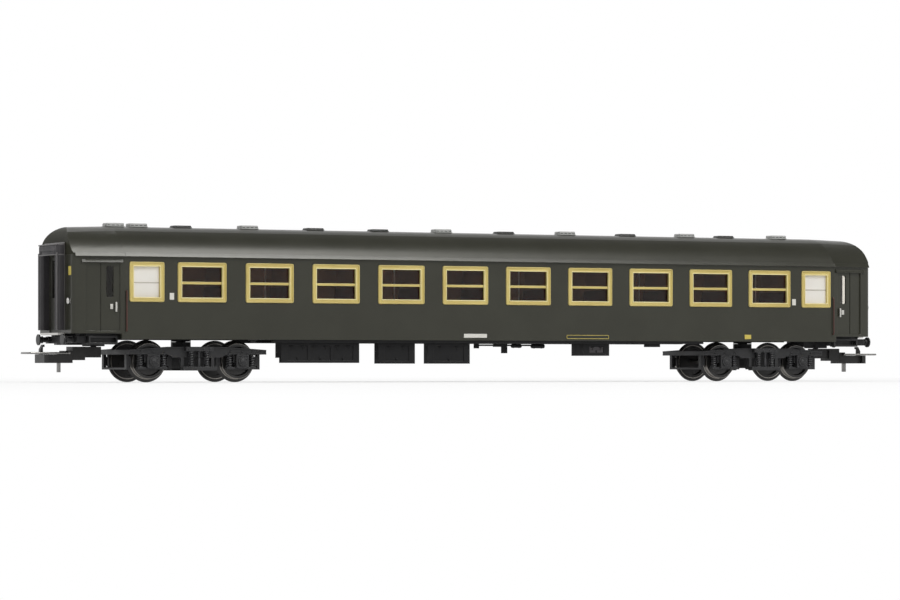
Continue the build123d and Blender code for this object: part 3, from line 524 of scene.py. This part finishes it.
# Couplers: a black plastic drawbar and plug-in head, and a loop bent from plated wire that lifts on its pin.
# The flat foot that hangs from the loop is what an uncoupling ramp pushes up.
coupler_black = moulding(
    "coupler_black", shade(30, 29, 29), shade(39, 38, 37), shade(70, 68, 66), 0.42, 0.35, 0.2
)
loop_steel = drawn_steel("loop_steel", shade(140, 139, 137), 0.38)


def bent_wire(mesh, points, radius, closed=False):
    """Adds a round wire that runs smoothly along a few points, or a closed bead that runs round them."""
    line = bpy.data.curves.new("wire", "CURVE")
    line.dimensions = "3D"
    line.bevel_depth = radius
    line.bevel_resolution = 1 if closed else 3
    line.resolution_u = 3 if closed else 5
    line.use_fill_caps = not closed
    run = line.splines.new("NURBS")
    run.points.add(len(points) - 1)
    for spot, point in zip(run.points, points):
        spot.co = (*point, 1)
    run.order_u = 3
    run.use_cyclic_u = closed
    run.use_endpoint_u = not closed
    carrier = bpy.data.objects.new("wire", line)
    shape = bpy.data.meshes.new_from_object(carrier)
    mesh.from_mesh(shape)
    bpy.data.objects.remove(carrier)
    bpy.data.meshes.remove(shape)
    bpy.data.curves.remove(line)


LOOP_WIRE = 0.3 * MM
LOOP_LEVEL = 8.7 * MM
LOOP_BEND = 1.5 * MM
LOOP_REACH = 12.5 * MM
for end, way in (("left", -1), ("right", 1)):
    dress(coupler_black, f"drawbar_{end}", f"coupler_head_{end}")
    low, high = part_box(f"coupler_loop_{end}")
    tip = (high.x if way > 0 else low.x) - way * LOOP_WIRE
    heel = tip - way * LOOP_REACH
    side = high.y - LOOP_WIRE
    mesh = bmesh.new()
    arm = [(heel, side, LOOP_LEVEL), (tip - way * LOOP_BEND, side, LOOP_LEVEL), (tip, side, LOOP_LEVEL)]
    arm.append((tip, side - LOOP_BEND, LOOP_LEVEL))
    bent_wire(mesh, arm + [(x, -y, z) for x, y, z in reversed(arm)], LOOP_WIRE)
    rod(mesh, (heel, low.y, LOOP_LEVEL), (heel, high.y, LOOP_LEVEL), 0.35 * MM, 16, 0.06 * MM)
    foot = heel + way * 2 * MM
    rod(mesh, (foot, -side, LOOP_LEVEL), (foot, side, LOOP_LEVEL), LOOP_WIRE, 12)
    block(
        mesh,
        (foot - 0.35 * MM, -0.87 * MM, low.z),
        (foot + 0.35 * MM, 0.87 * MM, LOOP_LEVEL + LOOP_WIRE),
        0.12 * MM,
    )
    made = fit(f"wire_loop_{end}", mesh, loop_steel, f"loop_{end}")
    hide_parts(f"coupler_loop_{end}")
    soften(made)

# Interior: one brown plastic insert with the compartment partitions and the corridor wall, and padded
# benches in oxide red. Its end walls towards the doors are painted dark as painted shade, and a pale jamb
# stands on each side of every other corridor door, painted light for the light seen through the door gaps.
interior_brown = moulding(
    "interior_brown", shade(152, 101, 72), shade(166, 114, 82), shade(176, 128, 98), 0.7, 0.1, 0.2
)
PORCH_SHADE_FROM = 123.3 * MM
PORCH_SHADE_FULL = 123.4 * MM


def along_coach(nodes, link, vector):
    """How far a place or a normal reaches along the coach, either way."""
    axes = nodes.new("ShaderNodeSeparateXYZ")
    link(vector, axes.inputs["Vector"])
    reach = nodes.new("ShaderNodeMath")
    reach.operation = "ABSOLUTE"
    link(axes.outputs["X"], reach.inputs[0])
    return reach.outputs["Value"]


nodes = interior_brown.node_tree.nodes
link = interior_brown.node_tree.links.new
along = along_coach(nodes, link, nodes.new("ShaderNodeTexCoord").outputs["Object"])
# Painted shade: the end walls facing the doors turn dark, standing in for the dim vestibule.
porch_painted_shade = nodes.new("ShaderNodeMix")
porch_painted_shade.data_type = "RGBA"
link(between(nodes, link, along, 0, 1, PORCH_SHADE_FROM, PORCH_SHADE_FULL), porch_painted_shade.inputs["Factor"])
coat = nodes["Principled BSDF"].inputs["Base Color"]
link(coat.links[0].from_socket, porch_painted_shade.inputs[6])
porch_painted_shade.inputs[7].default_value = shade(46, 42, 38)
link(porch_painted_shade.outputs[2], coat)
bench_red = moulding("bench_red", shade(92, 44, 36), shade(108, 54, 44), shade(124, 70, 58), 0.7, 0.2, 0.5)
# Painted light: pale posts at the corridor door edges stand in for light seen through the door gaps.
jamb_painted_light = moulding(
    "jamb_painted_light", shade(226, 208, 198), shade(236, 220, 210), shade(242, 230, 222), 0.5, 0.3, 0.2
)
dress(interior_brown, "interior_walls")
dress(bench_red, "benches")
WINDOW_PITCH = 21.98 * MM
WINDOW_COUNT = 10
CORRIDOR_FACE = 6.0 * MM
low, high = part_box("interior_walls")
mesh = bmesh.new()
for compartment in range(2, WINDOW_COUNT + 1, 2):
    wall = (compartment - WINDOW_COUNT / 2) * WINDOW_PITCH
    for jamb in (wall - 2.5 * MM, wall - 9.5 * MM):
        block(
            mesh,
            (jamb - 0.25 * MM, CORRIDOR_FACE - 0.25 * MM, low.z + 0.6 * MM),
            (jamb + 0.25 * MM, CORRIDOR_FACE, high.z),
            0.05 * MM,
        )
fit("corridor_door_light_jambs", mesh, jamb_painted_light, "coach")

# Body shell: one plastic moulding with both sides and ends, sprayed in satin olive green. The folding doors
# are sunk into the drawn-in bays, and have a plated handle and a dark red grab rail beside them.
body_paint = moulding("body_paint", shade(50, 50, 41), shade(54, 54, 45), shade(70, 70, 60), 0.3, 0.3, 0.08)
handle_steel = drawn_steel("handle_steel", shade(206, 204, 198), 0.3)
rail_red = moulding("rail_red", shade(70, 40, 32), shade(80, 46, 38), shade(96, 62, 52), 0.4, 0.4, 0.1)
dress(body_paint, "body_shell")
SIDE = 16.57 * MM
TAPER_FROM = 123.5 * MM
TAPER = 2.62 / 15.5
DOOR_SUNK = 0.35 * MM
HANDLE_X = 126.1 * MM
RAIL_X = 123.1 * MM


def side_at(x):
    """Distance of the body side from the middle of the coach, drawn in past the toilets."""
    return SIDE - max(0, abs(x) - TAPER_FROM) * TAPER


handles = bmesh.new()
rails = bmesh.new()
for way in (-1, 1):
    for out in (-1, 1):
        x = way * HANDLE_X
        y = out * (side_at(x) - DOOR_SUNK)
        lift = 0.45 * MM * out
        for z in (23.1, 21.4):
            rod(handles, (x, y, z * MM), (x, y + lift, z * MM), 0.25 * MM, 10)
        grip = [(x, y + lift, 23.6 * MM), (x, y + 1.25 * lift, 23.1 * MM)]
        grip += [(x, y + 1.25 * lift, 21.4 * MM), (x, y + lift, 20.9 * MM)]
        bent_wire(handles, grip, 0.36 * MM)
        lock = x + way * 1.3 * MM
        start = (lock - 0.45 * MM, y - lift / 9, 21.6 * MM)
        block(handles, start, (lock + 0.45 * MM, y + lift / 4, 23.1 * MM), 0.03 * MM)
        x = way * RAIL_X
        y = out * side_at(x)
        stand = 0.55 * MM * out
        bent_wire(
            rails,
            [
                (x, y, 15.2 * MM),
                (x, y + stand, 15.2 * MM),
                (x, y + stand, 15.8 * MM),
                (x, y + stand, 26.4 * MM),
                (x, y + stand, 27.0 * MM),
                (x, y, 27.0 * MM),
            ],
            0.2 * MM,
        )
soften(fit("door_handles", handles, handle_steel, "coach"))
soften(fit("grab_rails", rails, rail_red, "coach"))

# Blank plates: thin printed or fixed plates on the near side and on the left end, with nothing on them,
# and a thin cream outline near the sill.
plate_white = moulding(
    "plate_white", shade(214, 212, 204), shade(226, 224, 216), shade(232, 230, 224), 0.45, 0.4, 0.1
)
plate_yellow = moulding(
    "plate_yellow", shade(196, 176, 78), shade(208, 188, 88), shade(220, 202, 110), 0.45, 0.4, 0.1
)
PLATE = 0.06 * MM


def side_plate(mesh, x_a, x_b, low, high):
    """Adds a thin plate on the near side between two places along the coach and two heights."""
    block(mesh, (x_a * MM, -SIDE - PLATE, low * MM), (x_b * MM, -SIDE + PLATE, high * MM), 0.02 * MM)


mesh = bmesh.new()
side_plate(mesh, -11.5, -3.5, 13.6, 14.8)
for x in (-109.3, 107.5):
    side_plate(mesh, x, x + 1.4, 24.5, 26.5)
fit("white_plates", mesh, plate_white, "coach")
mesh = bmesh.new()
side_plate(mesh, 89.6, 92.0, 13.5, 14.9)
for low, high in ((13.38, 13.53), (14.43, 14.58)):
    side_plate(mesh, 24.6, 39.7, low, high)
for x in (24.6, 39.55):
    side_plate(mesh, x, x + 0.15, 13.38, 14.58)
low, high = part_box("body_shell")
block(mesh, (low.x - PLATE, -12.9 * MM, 31.6 * MM), (low.x + PLATE, -10.8 * MM, 34.2 * MM), 0.02 * MM)
fit("yellow_plates", mesh, plate_yellow, "coach")

# Windows: cream plastic frames with a sunk transom, pressed into the openings, each with a raised bead round
# its edge and round its opening, the opening's bead a paler cream as painted highlight. Clear panes lie
# behind them, and milky ones with a sash bar at the toilets.
frame_cream = moulding(
    "frame_cream", shade(200, 180, 108), shade(211, 192, 120), shade(236, 222, 160), 0.4, 0.3, 0.1
)
# Painted highlight: the beads round the openings are a paler copy of the frame cream.
bead_cream_highlight = moulding(
    "bead_cream_highlight", shade(234, 219, 156), shade(242, 229, 170), shade(249, 240, 196), 0.4, 0.3, 0.1
)
gasket_black = moulding(
    "gasket_black", shade(22, 21, 20), shade(28, 27, 26), shade(40, 38, 36), 0.6, 0.25, 0.2
)
dress(frame_cream, "window_frames_near", "window_frames_far")
FRAME_BORDER = 1.4 * MM
TRANSOM_LEVEL = 29.5 * MM
TRANSOM_HALF = 0.37 * MM
PANE_BACK = 0.8 * MM
TOILET_MOST = 12 * MM


def bead_ring(mesh, x_a, x_b, y, low, high, corner, radius):
    """Adds a round bead that runs round a rectangle in the plane of the side."""
    points = []
    for x, z, in_x, in_z in ((x_a, low, 1, 1), (x_b, low, -1, 1), (x_b, high, -1, -1), (x_a, high, 1, -1)):
        beside = [(x + in_x * corner, y, z), (x, y, z + in_z * corner)]
        first, last = beside if in_x != in_z else reversed(beside)
        points += [first, (x, y, z), last]
    bent_wire(mesh, points, radius, closed=True)


bars = bmesh.new()
for side in ("near", "far"):
    edges = bmesh.new()
    beads = bmesh.new()
    gaskets = bmesh.new()
    for low, high in solids(f"window_frames_{side}"):
        out = -1 if side == "near" else 1
        face = low.y if side == "near" else high.y
        pane = face - out * PANE_BACK
        edge = 0.24 * MM
        bead_ring(edges, low.x + edge, high.x - edge, face, low.z + edge, high.z - edge, 0.5 * MM, 0.22 * MM)
        sight_a, sight_b = low.x + FRAME_BORDER, high.x - FRAME_BORDER
        sill, head = low.z + FRAME_BORDER, high.z - FRAME_BORDER
        brim = 0.16 * MM
        bead_ring(beads, sight_a - brim, sight_b + brim, face, sill - brim, head + brim, 0.35 * MM, 0.17 * MM)
        if high.x - low.x > TOILET_MOST:
            for foot, top in ((sill, TRANSOM_LEVEL - TRANSOM_HALF), (TRANSOM_LEVEL + TRANSOM_HALF, head)):
                bead_ring(gaskets, sight_a, sight_b, pane, foot, top, 0.3 * MM, 0.12 * MM)
        else:
            start = (sight_a, pane - 0.1 * MM, TRANSOM_LEVEL - 0.16 * MM)
            block(bars, start, (sight_b, pane + 0.1 * MM, TRANSOM_LEVEL + 0.16 * MM), 0.04 * MM)
    soften(fit(f"frame_edges_{side}", edges, frame_cream, "coach"), 60)
    soften(fit(f"frame_beads_{side}", beads, bead_cream_highlight, "coach"), 60)
    soften(fit(f"glazing_gaskets_{side}", gaskets, gasket_black, "coach"), 60)
sash_grey = moulding(
    "sash_grey", shade(178, 172, 160), shade(188, 182, 170), shade(204, 199, 188), 0.45, 0.35, 0.1
)
fit("toilet_sash_bars", bars, sash_grey, "coach")


def clear_pane(name, tint):
    """Clear moulded glazing that lets the lamps through, slightly uneven and with a faint haze."""
    material, nodes, link, shader = blank_finish(name)
    shader.inputs["Base Color"].default_value = tint
    shader.inputs["Transmission Weight"].default_value = 1
    shader.inputs["IOR"].default_value = 1.25
    shader.inputs["Specular IOR Level"].default_value = 0.12
    link(between(nodes, link, grain(nodes, link, 300), 0.015, 0.05), shader.inputs["Roughness"])
    bump = nodes.new("ShaderNodeBump")
    bump.inputs["Strength"].default_value = 0.03
    bump.inputs["Distance"].default_value = 0.02 * MM
    link(grain(nodes, link, 250, 1.0), bump.inputs["Height"])
    link(bump.outputs["Normal"], shader.inputs["Normal"])
    clear = nodes.new("ShaderNodeBsdfTransparent")
    clear.inputs["Color"].default_value = tint
    ray = nodes.new("ShaderNodeLightPath")
    mix = nodes.new("ShaderNodeMixShader")
    link(ray.outputs["Is Shadow Ray"], mix.inputs["Fac"])
    link(shader.outputs["BSDF"], mix.inputs[1])
    link(clear.outputs["BSDF"], mix.inputs[2])
    link(mix.outputs["Shader"], nodes["Material Output"].inputs["Surface"])
    return material


clear_glazing = clear_pane("clear_glazing", shade(240, 237, 231))
frosted_glazing = moulding(
    "frosted_glazing", shade(226, 222, 214), shade(234, 231, 224), shade(240, 238, 232), 0.4, 0.4, 0.35
)
dress(clear_glazing, "window_glass_near", "window_glass_far", "door_glass")
dress(frosted_glazing, "toilet_panes")

# Gangways: hollow rubber rolls on both sides and above, folded in front, seamed along their edges with pale
# beads that are also a painted highlight on the rolls' edges, and clamped to the end wall by a thin steel
# strip.
# A steel bridge plate lies below, a closed end door behind, and a white lamp sits on each side.
bellows_rubber = moulding(
    "bellows_rubber", shade(53, 51, 53), shade(61, 59, 61), shade(98, 96, 97), 0.55, 0.35, 0.4
)
clamp_steel = drawn_steel("clamp_steel", shade(120, 118, 116), 0.42)
plate_steel = drawn_steel("plate_steel", shade(206, 204, 200), 0.34)
lamp_white = moulding(
    "lamp_white", shade(228, 226, 220), shade(238, 236, 232), shade(244, 243, 240), 0.25, 0.5, 0.05
)
door_dark = moulding("door_dark", shade(58, 58, 53), shade(66, 66, 61), shade(84, 84, 78), 0.45, 0.35, 0.15)
dress(bellows_rubber, "gangway_left", "gangway_right")
dress(plate_steel, "bridge_plates")
dress(door_dark, "end_doors")
dress(lamp_white, "end_lamps")
ROLL = 2.7 * MM
STRIP = 0.35 * MM
FOLD_R = 0.24 * MM
FOLD_SUNK = 0.14 * MM
SEAM_R = 0.2 * MM
SEAM_END = 0.05 * MM
LIP_DEEP = 0.6 * MM
clamps = bmesh.new()
folds = bmesh.new()
seams = bmesh.new()
for end, way in (("left", -1), ("right", 1)):
    low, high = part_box(f"gangway_{end}")
    wall = low.x if way > 0 else high.x
    face = high.x if way > 0 else low.x
    front = face - way * FOLD_SUNK
    for out in (-1, 1):
        block(
            clamps,
            (wall, out * high.y, low.z),
            (wall + way * STRIP, out * (high.y + STRIP), high.z + STRIP),
            0.05 * MM,
        )
        for fold in (0.3, 0.7):
            y = out * (high.y - fold * ROLL)
            rod(folds, (front, y, low.z), (front, y, high.z - fold * ROLL), FOLD_R, 10)
    block(clamps, (wall, -high.y, high.z), (wall + way * STRIP, high.y, high.z + STRIP), 0.05 * MM)
    for fold in (0.3, 0.7):
        z = high.z - fold * ROLL
        y = high.y - fold * ROLL
        rod(folds, (front, -y, z), (front, y, z), FOLD_R, 10)
    inside = high.y - ROLL + 0.2 * MM
    block(
        folds,
        (face - way * 0.6 * MM, -inside, high.z - ROLL - LIP_DEEP),
        (face - way * 0.05 * MM, inside, high.z - ROLL + 0.3 * MM),
        0.05 * MM,
    )
    for z in (high.z - 0.3 * MM, high.z - ROLL - LIP_DEEP):
        for y in (low.y, high.y):
            rod(seams, (wall, y, z), (face - way * 0.3 * MM, y, z), SEAM_R, 10, SEAM_END)
        ends = (low.y + 0.3 * MM, high.y - 0.3 * MM)
        rod(seams, (face, ends[0], z), (face, ends[1], z), SEAM_R, 10, SEAM_END)
    for y in (low.y + 0.25 * MM, high.y - 0.25 * MM):
        rod(seams, (face, y, low.z), (face, y, high.z - ROLL), SEAM_R, 10, SEAM_END)
fit("gangway_clamps", clamps, clamp_steel, "coach")
soften(fit("gangway_folds", folds, bellows_rubber, "coach"))
# Painted highlight: the seam beads are a paler rubber grey, for the light caught by the rolls' edges.
seam_grey_highlight = moulding(
    "seam_grey_highlight", shade(96, 94, 94), shade(106, 104, 104), shade(124, 122, 122), 0.5, 0.3, 0.3
)
soften(fit("gangway_seams_highlight", seams, seam_grey_highlight, "coach"))
rims = bmesh.new()
for low, high in solids("end_lamps"):
    way = -1 if low.x < 0 else 1
    y, z = (low.y + high.y) / 2, (low.z + high.z) / 2
    wall = high.x if way < 0 else low.x
    ring = bmesh.ops.create_circle(rims, segments=8, radius=0.16 * MM)
    radius = (high.y - low.y) / 2
    place = Matrix.Translation((wall + way * 0.3 * MM, y, z + radius))
    upright = Matrix.Rotation(math.radians(90), 4, "X")
    bmesh.ops.transform(rims, matrix=place @ upright, verts=ring["verts"])
    edges = list({edge for vert in ring["verts"] for edge in vert.link_edges})
    bmesh.ops.spin(
        rims,
        geom=ring["verts"] + edges,
        cent=(wall, y, z),
        axis=(1, 0, 0),
        angle=2 * math.pi,
        steps=24,
        use_merge=True,
    )
soften(fit("lamp_rims", rims, underframe_black, "coach"), 60)

# Roof: one plastic moulding sprayed like the body and matt at its ends, with a sloped rain lip on each
# gutter and a drip lip over each door. The ventilator hoods, tall or low, are separate mouldings on a flat
# base, each with slots along both sides drawn as dark strips of painted shade; the low hoods are a darker
# grey as painted shade.
roof_paint = moulding("roof_paint", shade(49, 49, 40), shade(53, 53, 44), shade(72, 72, 62), 0.3, 0.3, 0.08)
CROWN_SHINE = 0.3
END_SHINE = 0.02
nodes = roof_paint.node_tree.nodes
link = roof_paint.node_tree.links.new
endwise = along_coach(nodes, link, nodes.new("ShaderNodeNewGeometry").outputs["Normal"])
dull_ends = between(nodes, link, endwise, CROWN_SHINE, END_SHINE, 0.2, 0.5)
link(dull_ends, nodes["Principled BSDF"].inputs["Specular IOR Level"])
vent_grey = moulding(
    "vent_grey", shade(176, 177, 174), shade(186, 187, 184), shade(204, 205, 202), 0.5, 0.3, 0.2
)
# Painted shade: the slots are thin dark strips standing in for the shade inside the hood's openings.
slot_painted_shade = moulding("slot_painted_shade", shade(48, 48, 47), shade(54, 54, 53), shade(60, 60, 59), 0.6, 0.2, 0.1)
dress(roof_paint, "roof")


def lip(mesh, places, out, section):
    """Adds a sloped strip along one side: the section's points stand out from the side, at their heights."""
    verts = [mesh.verts.new((places[0], out * (side_at(places[0]) + off), z)) for off, z in section]
    face = mesh.faces.new(verts)
    for here, there in zip(places, places[1:]):
        grown = bmesh.ops.extrude_face_region(mesh, geom=[face])["geom"]
        face = next(part for part in grown if isinstance(part, bmesh.types.BMFace))
        shift = (there - here, out * (side_at(there) - side_at(here)), 0)
        bmesh.ops.translate(mesh, verts=face.verts, vec=shift)


RAIN_LIP_END = 138.3 * MM
DRIP_LIP_FROM = 124.2 * MM
DRIP_LIP_TO = 136.4 * MM
RAIN_LIP = [(-0.1, 37.05), (0.7, 37.05), (0.78, 37.15), (0.2, 38.18), (-0.2, 38.2)]
mesh = bmesh.new()
for out in (-1, 1):
    places = (-RAIN_LIP_END, -TAPER_FROM, TAPER_FROM, RAIN_LIP_END)
    lip(mesh, places, out, [(off * MM, z * MM) for off, z in RAIN_LIP])
fit("rain_lips", mesh, roof_paint, "coach")
DRIP_LIP = [(-0.1, 35.25), (0.6, 35.25), (0.66, 35.33), (0.27, 36.25), (-0.1, 36.35)]
mesh = bmesh.new()
for out in (-1, 1):
    for way in (-1, 1):
        places = (way * DRIP_LIP_FROM, way * DRIP_LIP_TO)
        lip(mesh, places, out, [(off * MM, z * MM) for off, z in DRIP_LIP])
fit("drip_lips", mesh, roof_paint, "coach")
# Painted shade: the low hoods get a darker grey than the tall ones, for the shade they sit in.
low_hood_painted_shade = moulding("low_hood_painted_shade", shade(72, 72, 70), shade(82, 82, 80), shade(120, 121, 118), 0.5, 0.3, 0.2)
LOW_HOODS = (2, 4, 5, 7, 9, 11)
LOW_LESS = 0.4 * MM
VENT_SLOTS = 4
tall_hoods = bmesh.new()
low_hoods = bmesh.new()
slots = bmesh.new()
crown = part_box("roof")[1].z
for number, (low, high) in enumerate(solids("roof_vents")):
    squat = number in LOW_HOODS
    hoods = low_hoods if squat else tall_hoods
    base = crown + 0.16 * MM
    top = high.z - (LOW_LESS if squat else 0)
    start = (low.x - 0.1 * MM, low.y - 0.2 * MM, low.z)
    block(hoods, start, (high.x + 0.1 * MM, high.y + 0.2 * MM, base), 0.08 * MM)
    block(hoods, low, (high.x, high.y, top), 0.28 * MM)
    for out in (-1, 1):
        y = low.y if out < 0 else high.y
        for part in range(VENT_SLOTS):
            x = low.x + (part + 0.5) / VENT_SLOTS * (high.x - low.x)
            start = (x - 0.45 * MM, y - 0.04 * MM, base + 0.16 * MM)
            block(slots, start, (x + 0.45 * MM, y + 0.04 * MM, base + 0.34 * MM), 0.03 * MM)
tall = fit("tall_vent_hoods", tall_hoods, vent_grey, "coach")
short = fit("low_vent_hoods", low_hoods, low_hood_painted_shade, "coach")
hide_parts("roof_vents")
soften(tall)
soften(short)
fit("vent_slots", slots, slot_painted_shade, "coach")

# Studio: a plain pale floor, a white surround, a large soft light high in front of the near side, one above
# it that only gives shine, and a weaker light behind. The camera is low beside the coach, level with the
# rails.
FLOOR_HALF = 12.0
mesh = bmesh.new()
bmesh.ops.create_grid(mesh, x_segments=1, y_segments=1, size=FLOOR_HALF)
data = bpy.data.meshes.new("studio_floor")
mesh.to_mesh(data)
mesh.free()
floor = bpy.data.objects.new("studio_floor", data)
bpy.context.scene.collection.objects.link(floor)
floor_pale, nodes, link, shader = blank_finish("floor_pale")
shader.inputs["Roughness"].default_value = 0.9
shader.inputs["Specular IOR Level"].default_value = 0.1
tone = nodes.new("ShaderNodeValToRGB")
tone.color_ramp.elements[0].color = shade(244, 244, 244)
tone.color_ramp.elements[1].color = shade(250, 250, 250)
link(grain(nodes, link, 3), tone.inputs["Fac"])
link(tone.outputs["Color"], shader.inputs["Base Color"])


def seen_ray(nodes, link, mirrored=None):
    """1 for what the camera sees straight, in a shine or through glass, and 0 for light on the coach.

    A shine gets only the share that is handed in.
    """
    ray = nodes.new("ShaderNodeLightPath")
    kinds = [ray.outputs[f"Is {kind} Ray"] for kind in ("Camera", "Glossy", "Transmission")]
    if mirrored:
        part = nodes.new("ShaderNodeMath")
        part.operation = "MULTIPLY"
        link(kinds[1], part.inputs[0])
        link(mirrored, part.inputs[1])
        kinds[1] = part.outputs["Value"]
    for kind in kinds[1:]:
        either = nodes.new("ShaderNodeMath")
        either.operation = "MAXIMUM"
        link(kinds[0], either.inputs[0])
        link(kind, either.inputs[1])
        kinds[0] = either.outputs["Value"]
    return kinds[0]


place = nodes.new("ShaderNodeTexCoord")
reach = nodes.new("ShaderNodeVectorMath")
reach.operation = "LENGTH"
link(place.outputs["Object"], reach.inputs[0])
fade = between(nodes, link, reach.outputs["Value"], 0.55, 1, 0.16, 0.6)
share = nodes.new("ShaderNodeMath")
share.operation = "MULTIPLY"
link(fade, share.inputs[0])
link(seen_ray(nodes, link), share.inputs[1])
glow = nodes.new("ShaderNodeEmission")
glow.inputs["Color"].default_value = (1, 1, 1, 1)
glow.inputs["Strength"].default_value = 1
mix = nodes.new("ShaderNodeMixShader")
link(share.outputs["Value"], mix.inputs["Fac"])
link(shader.outputs["BSDF"], mix.inputs[1])
link(glow.outputs["Emission"], mix.inputs[2])
link(mix.outputs["Shader"], nodes["Material Output"].inputs["Surface"])
data.materials.append(floor_pale)

world = bpy.data.worlds.new("studio")
bpy.context.scene.world = world
world.use_nodes = True
nodes = world.node_tree.nodes
link = world.node_tree.links.new
ambient = nodes["Background"]
ambient.inputs["Color"].default_value = (1, 1, 1, 1)
ambient.inputs["Strength"].default_value = 0.45
ceiling = nodes.new("ShaderNodeBackground")
ceiling.inputs["Strength"].default_value = 0.12
ceiling.inputs["Color"].default_value = (1, 1, 1, 1)
white = nodes.new("ShaderNodeBackground")
white.inputs["Strength"].default_value = 1
white.inputs["Color"].default_value = (1, 1, 1, 1)
mix = nodes.new("ShaderNodeMixShader")
heading = nodes.new("ShaderNodeTexCoord")
height = nodes.new("ShaderNodeSeparateXYZ")
link(heading.outputs["Generated"], height.inputs["Vector"])
low_backdrop = between(nodes, link, height.outputs["Z"], 1, 0, 0.3, 0.65)
link(seen_ray(nodes, link, low_backdrop), mix.inputs["Fac"])
ray = nodes.new("ShaderNodeLightPath")
above = nodes.new("ShaderNodeMixShader")
link(ray.outputs["Is Glossy Ray"], above.inputs["Fac"])
link(ambient.outputs["Background"], above.inputs[1])
link(ceiling.outputs["Background"], above.inputs[2])
link(above.outputs["Shader"], mix.inputs[1])
link(white.outputs["Background"], mix.inputs[2])
link(mix.outputs["Shader"], nodes["World Output"].inputs["Surface"])


def softbox(name, place, aim, wide, high, power):
    """Adds a large soft light at a place, turned to a point."""
    lamp = bpy.data.lights.new(name, "AREA")
    lamp.shape = "RECTANGLE"
    lamp.size = wide
    lamp.size_y = high
    lamp.energy = power
    held = bpy.data.objects.new(name, lamp)
    held.location = place
    held.rotation_euler = (Vector(aim) - Vector(place)).to_track_quat("-Z", "Y").to_euler()
    bpy.context.scene.collection.objects.link(held)
    return held


softbox("front_softbox", (0.25, -0.9, 0.95), (0, 0, 0.03), 0.9, 0.6, 8.0)
strip = softbox("shine_strip", (0.19, -0.55, 1.115), (0, 0, 0.03), 0.7, 0.5, 17.5)
strip.visible_diffuse = False
strip.data.color = (1, 0.99, 0.94)
softbox("back_softbox", (-0.3, 0.8, 0.9), (0, 0, 0.03), 1.2, 0.5, 6.0)

CAMERA_PLACE = (-0.52467, -1.02037, 0.004436)
CAMERA_TURN = 26.86
FOCAL_PIXELS = 3658.95
HORIZON_PIXELS = 67.45
PICTURE_WIDE = 900
view = bpy.data.cameras.new("photo_camera")
view.sensor_width = 36
view.lens = FOCAL_PIXELS * view.sensor_width / PICTURE_WIDE
view.shift_y = HORIZON_PIXELS / PICTURE_WIDE
view.clip_start = 0.01
view.clip_end = 60
camera = bpy.data.objects.new("photo_camera", view)
camera.location = CAMERA_PLACE
camera.rotation_euler = (math.radians(90), 0, math.radians(-CAMERA_TURN))
bpy.context.scene.collection.objects.link(camera)
bpy.context.scene.camera = camera
bpy.context.scene.view_settings.view_transform = "Standard"
